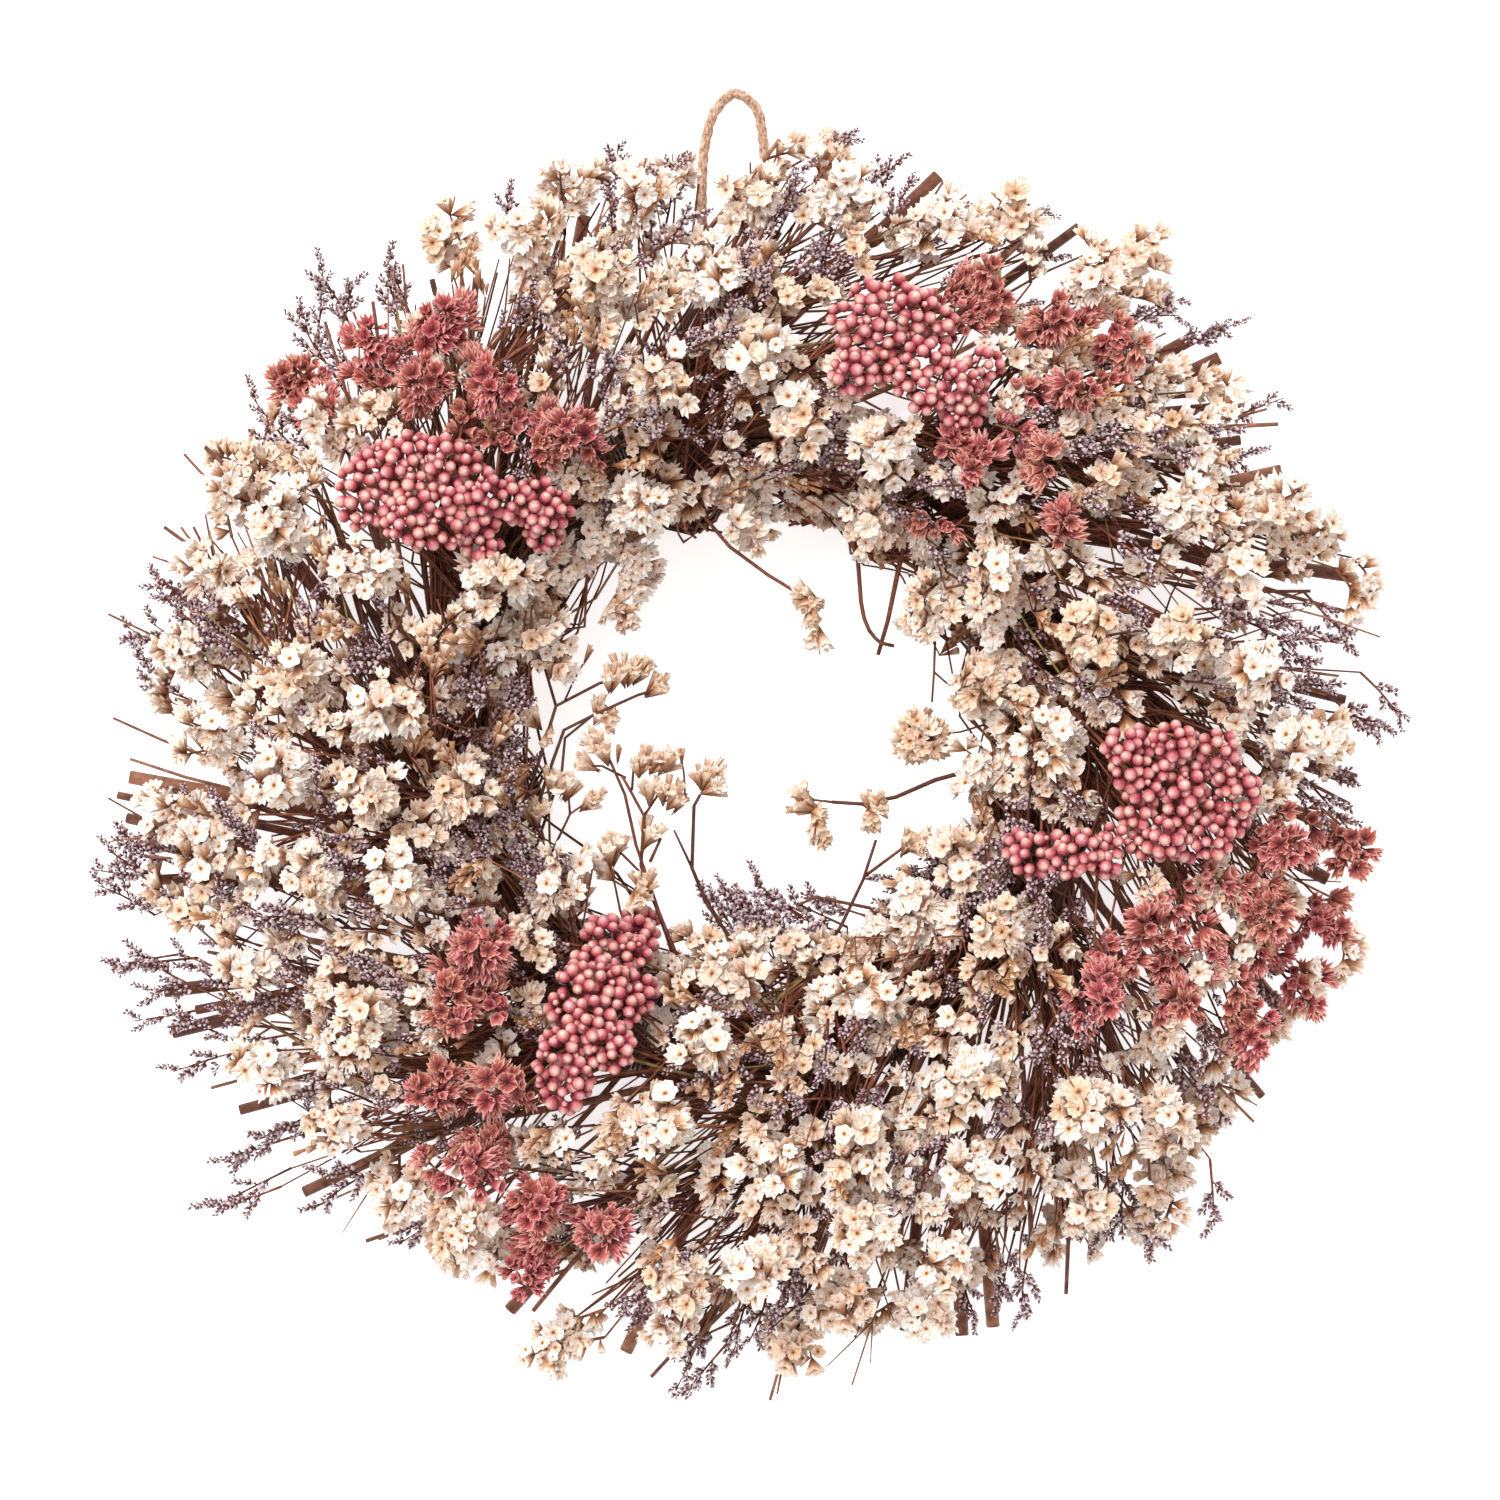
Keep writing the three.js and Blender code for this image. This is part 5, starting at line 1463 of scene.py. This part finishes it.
# Each kind's materials, florets or buds first, and its slot.
KINDS = {
    "pink_statice": ((pink_petals, stems), "pink_flowers"),
    "rice_flower": ((buds_rice, stems), "rice_flower_buds"),
    "caspia": ((florets_caspia, stems), "caspia_flowers"),
    "white_statice": ((white_petals, stems), "white_flowers"),
}
for bunch in bunches:
    materials, slot = KINDS[bunch.kind]
    finish_piece(f"{bunch.name}_flowers", bunch.pile, materials, slot, bunch.name)

# The ring: many stems wound side by side, drawn in where they are bound.
TWIG_ENDS = (
    (967, 194), (1267, 409), (1237, 494), (1347, 612), (1380, 637), (1350, 804), (1254, 1122),
    (651, 1377), (306, 1195), (211, 1063), (211, 1088), (317, 1206), (366, 1241), (184, 454), (164, 527),
    (181, 527), (108, 614), (113, 718), (130, 759), (108, 798), (403, 264), (433, 216), (347, 296),
    (1066, 1294), (770, 1400), (852, 1385), (700, 1335), (720, 1312), (1325, 640), (1300, 560),
    (236, 452), (560, 232), (1010, 205),
)
MORE_CUT_ENDS = (
    (304, 1192), (118, 795), (138, 840), (150, 880), (196, 1010), (240, 1110), (1240, 440), (1300, 500),
    (905, 1330), (700, 1340), (1180, 1190), (1345, 700),
)
UNDER_STEMS = 80
MORE_TWIGS = 45
TWIG_REACH = 595
TWIG_TURN = 0.14
# Two layers: share of the tube's radius, stems, their arcs, degrees a step, sides and thickness.
RING_LAYERS = ((0.93, 110, (60, 150), 3.8, 4, (0.6, 1.3)), (0.72, 34, (100, 200), 6, 5, (1.8, 2.6)))


def pinch_at(around):
    def drawn_in(middle):
        return exp(-(turn_between(around, middle) / PINCH_DEGREES) ** 2)

    pinch = max(drawn_in(binding_degrees(binding)) for binding in range(BINDINGS))
    return PINCH_DEPTH * pinch + TIE_PINCH * drawn_in(TIE_DEGREES)


def add_wound_stems(pile, draw):
    """The ring itself: stems that wind round its tube."""
    for layer, count, arc, stride, sides, thickness in RING_LAYERS:
        for i in range(count):
            start = draw.uniform(0, 360)
            length = draw.uniform(*arc)
            lean = 360 * i / count * 3 + draw.uniform(-20, 20)
            twist = draw.uniform(0.5, 1.0)
            thick = draw.uniform(*thickness)
            steps = int(length / stride)
            path = []
            for k in range(steps + 1):
                around = start - length * k / steps
                reach = RING_TUBE * layer - thick * 0.4 - pinch_at(around) * layer
                turn = lean + twist * length * k / steps + 6 * sin(k * 0.4 + i)
                path.append(lifted(on_ring(around, turn, reach), thick + 0.05))
            ends = np.minimum(np.arange(steps + 1) + 1.5, steps + 2.5 - np.arange(steps + 1))
            add_rod(pile, path, np.clip(ends / 4, 0.4, 1) * thick, draw.random(), sides, 0, across=UP)


def add_cut_stem(pile, root, end, thick, tint, sides, rise, taper, face_length, face):
    """A thick stem that slopes out of the ring, with a paler cut face."""
    add_rod(pile, bowed(root, end, vec(0, 0, rise), 7), np.linspace(1, taper, 7) * thick, tint, sides, 0)
    tip = end + unit(end - root) * face_length
    add_rod(pile, (end, tip), np.array(face) * thick, tint, sides, 1)


def add_cut_stems(pile, draw):
    for root, end in cut_stems:
        add_cut_stem(pile, root, end, CUT_STEM_RADIUS, draw.random(), 9, 0.6, 0.92, 0.25, (0.86, 0.84))
    solid_ends = [(*pixel_of(end), 2) for _, end in cut_stems]
    for spot in CUT_ENDS + MORE_CUT_ENDS:
        if any(hypot(px - spot[0], py - spot[1]) < room for px, py, room in solid_ends):
            continue
        end = seen_at(spot, draw.uniform(8, 22))
        root = on_ring(degrees_of(end) + draw.uniform(14, 26), *CUT_STEM_ROOT)
        thick = draw.uniform(1.3, 2.0)
        add_cut_stem(pile, root, end, thick, draw.random(), 8, 1, 0.9, 0.2, (0.84, 0.82))


def add_under_stems(pile, draw):
    """Stems that reach out of the ring under the flowers."""
    for _ in range(UNDER_STEMS):
        around = draw.uniform(0, 360)
        end = on_ring(around, 0, draw.uniform(46, 84))
        end[2] = draw.uniform(6, 34)
        if over_loop(end):
            continue
        root = on_ring(around + draw.uniform(18, 36), draw.uniform(-10, 60), RING_TUBE * 0.8)
        thick = draw.uniform(0.7, 1.5)
        bow = vec(draw.uniform(-3, 3), draw.uniform(-3, 3), draw.uniform(0, 3))
        add_rod(pile, bowed(root, end, bow, 6), np.linspace(1, 0.85, 6) * thick, draw.random(), 6, 0)


def add_twigs(pile, draw):
    """Thin forked twigs that reach out past the flowers."""
    more = tuple((CENTRE_PIXEL[0] + TWIG_REACH * draw.uniform(0.93, 1.05) * cos(TWIG_TURN * i),
                  CENTRE_PIXEL[1] + TWIG_REACH * draw.uniform(0.93, 1.05) * sin(TWIG_TURN * i))
                 for i in range(MORE_TWIGS))
    for spot in TWIG_ENDS + more:
        end = seen_at(spot, draw.uniform(6, 40))
        if over_loop(end):
            continue
        root = on_ring(degrees_of(end) + draw.uniform(16, 34), draw.uniform(0, 50), RING_TUBE * 0.8)
        bow = vec(draw.uniform(-8, 8), draw.uniform(-8, 8), draw.uniform(0, 6))
        thick = draw.uniform(0.4, 0.9)
        path = bowed(root, end, bow, 7)
        path[1:-1] += np.array([[draw.uniform(-0.8, 0.8) for _ in range(3)] for _ in range(5)])
        add_rod(pile, path, np.linspace(1.2, 0.75, 7) * thick, draw.uniform(0.2, 1), 4, 0)
        for _ in range(draw.choice((0, 1, 2))):
            fork = path[draw.choice((4, 5))]
            along = unit(end - root)
            reach = draw.uniform(8, 17)
            aside = np.cross(UP, along) * draw.uniform(-0.7, 0.7)
            tip = lifted(fork + (along + aside + vec(0, 0, draw.uniform(-0.1, 0.3))) * reach, 1)
            route = (fork, (fork + tip) / 2 + vec(0, 0, 0.8), tip)
            add_rod(pile, route, np.array((0.62, 0.5, 0.36)) * thick, draw.uniform(0.3, 1), 4, 0)


ring_pile = Pile()
ring_draw = random.Random(11)
for add_part in (add_wound_stems, add_cut_stems, add_under_stems, add_twigs):
    add_part(ring_pile, ring_draw)
finish_piece("wound_stems", ring_pile, (bark, cut_wood), "stems", "stem_ring")


def tangent_at(around):
    return unit(np.cross(UP, on_ring(around, 0, 0)))


def wire_turns(binding):
    """Four turns of thin wire over the handles and round the ring."""
    neck = RING_TUBE - PINCH_DEPTH + WIRE_RADIUS
    over = neck + 2 * CLEARANCE + 2 * HANDLE_RADIUS + 0.5
    under = neck + CLEARANCE + 0.2
    turns = [(-22, over - 0.5)] + [(lean, over) for lean in LANES] + [(196, over - 0.5)]
    turns += [(lean, under) for lean in (210, 240, 270, 300)]
    around = binding_degrees(binding)
    path = [lifted(on_ring(around + (wrap + i / len(turns) - 2) * 0.75, lean, distance), 0.5)
            for wrap in range(4) for i, (lean, distance) in enumerate(turns)]
    pile = Pile()
    add_rod(pile, curved(path, 150), 0.42, 0.3, 6, 0, across=tangent_at(around))
    return pile


for binding in range(BINDINGS):
    node = f"binding_wire_{binding + 1:02d}"
    finish_piece(f"{node}_turns", wire_turns(binding), (wire,), "wire", node)


def plies(low, lay):
    """How the three plies change a rod's radius, by station and angle."""
    return lambda station, angle: low + (1 - low) * np.abs(np.cos(PLIES_PHASE * (angle - station * lay)))


def tie_and_knot():
    """Two turns of twine round the ring, and three small ones as the knot."""
    pile = Pile()
    inner = RING_TUBE - TIE_PINCH + 1.5 + CLEARANCE + TWINE_RADIUS
    corners = TIE_CORNERS * 2
    path = [lifted(on_ring(TIE_DEGREES - 0.85 + 1.7 * i / corners, i * 360 / TIE_CORNERS, inner),
                   TWINE_RADIUS + 0.1)
            for i in range(corners + 1)]
    add_rod(pile, curved(path, 120), TWINE_RADIUS, 0.5, 12, 0, across=tangent_at(TIE_DEGREES),
            ridges=plies(0.8, 0.45))
    for turn in range(3):
        ring = [vec(*KNOT) + vec(-2.6 + 2.6 * turn + 0.5 * sin(angle), 1.9 * cos(angle),
                                 1.7 * sin(angle))
                for angle in (tau * k / 12 for k in range(13))]
        add_rod(pile, curved(ring, 30), 1.35, 0.5, 10, 0, across=vec(1, 0, 0), ridges=plies(0.82, 0.5))
    return pile


finish_piece("twine_tie_knot", tie_and_knot(), (jute,), "twine", "twine_tie")

# Floor, light and finish.
floor_bm = bmesh.new()
bmesh.ops.create_grid(floor_bm, x_segments=2, y_segments=2, size=8)
floor_mesh = bpy.data.meshes.new("floor")
floor_bm.to_mesh(floor_mesh)
floor_bm.free()
floor_finish = bpy.data.materials.new("pale_floor")
floor_finish.use_nodes = True
floor_shader = floor_finish.node_tree.nodes["Principled BSDF"]
for name, value in (("Base Color", (0.93, 0.93, 0.93, 1)), ("Roughness", 0.9),
                    ("Emission Color", (1, 1, 1, 1)), ("Emission Strength", 0.7)):
    floor_shader.inputs[name].default_value = value
floor_mesh.materials.append(floor_finish)
floor = add_object("floor", floor_mesh)

world = bpy.data.worlds.new("studio")
world.use_nodes = True
sky = world.node_tree.nodes["Background"]
sky.inputs["Color"].default_value = (1, 1, 1, 1)
sky.inputs["Strength"].default_value = 0.69
scene.world = world
lamp = add_object("soft_light", bpy.data.lights.new("soft_light", "SUN"))
lamp.data.energy = 2.7
lamp.data.angle = radians(35)
lamp.rotation_euler = (radians(-28), radians(-22), 0)
scene.view_settings.view_transform = "Standard"
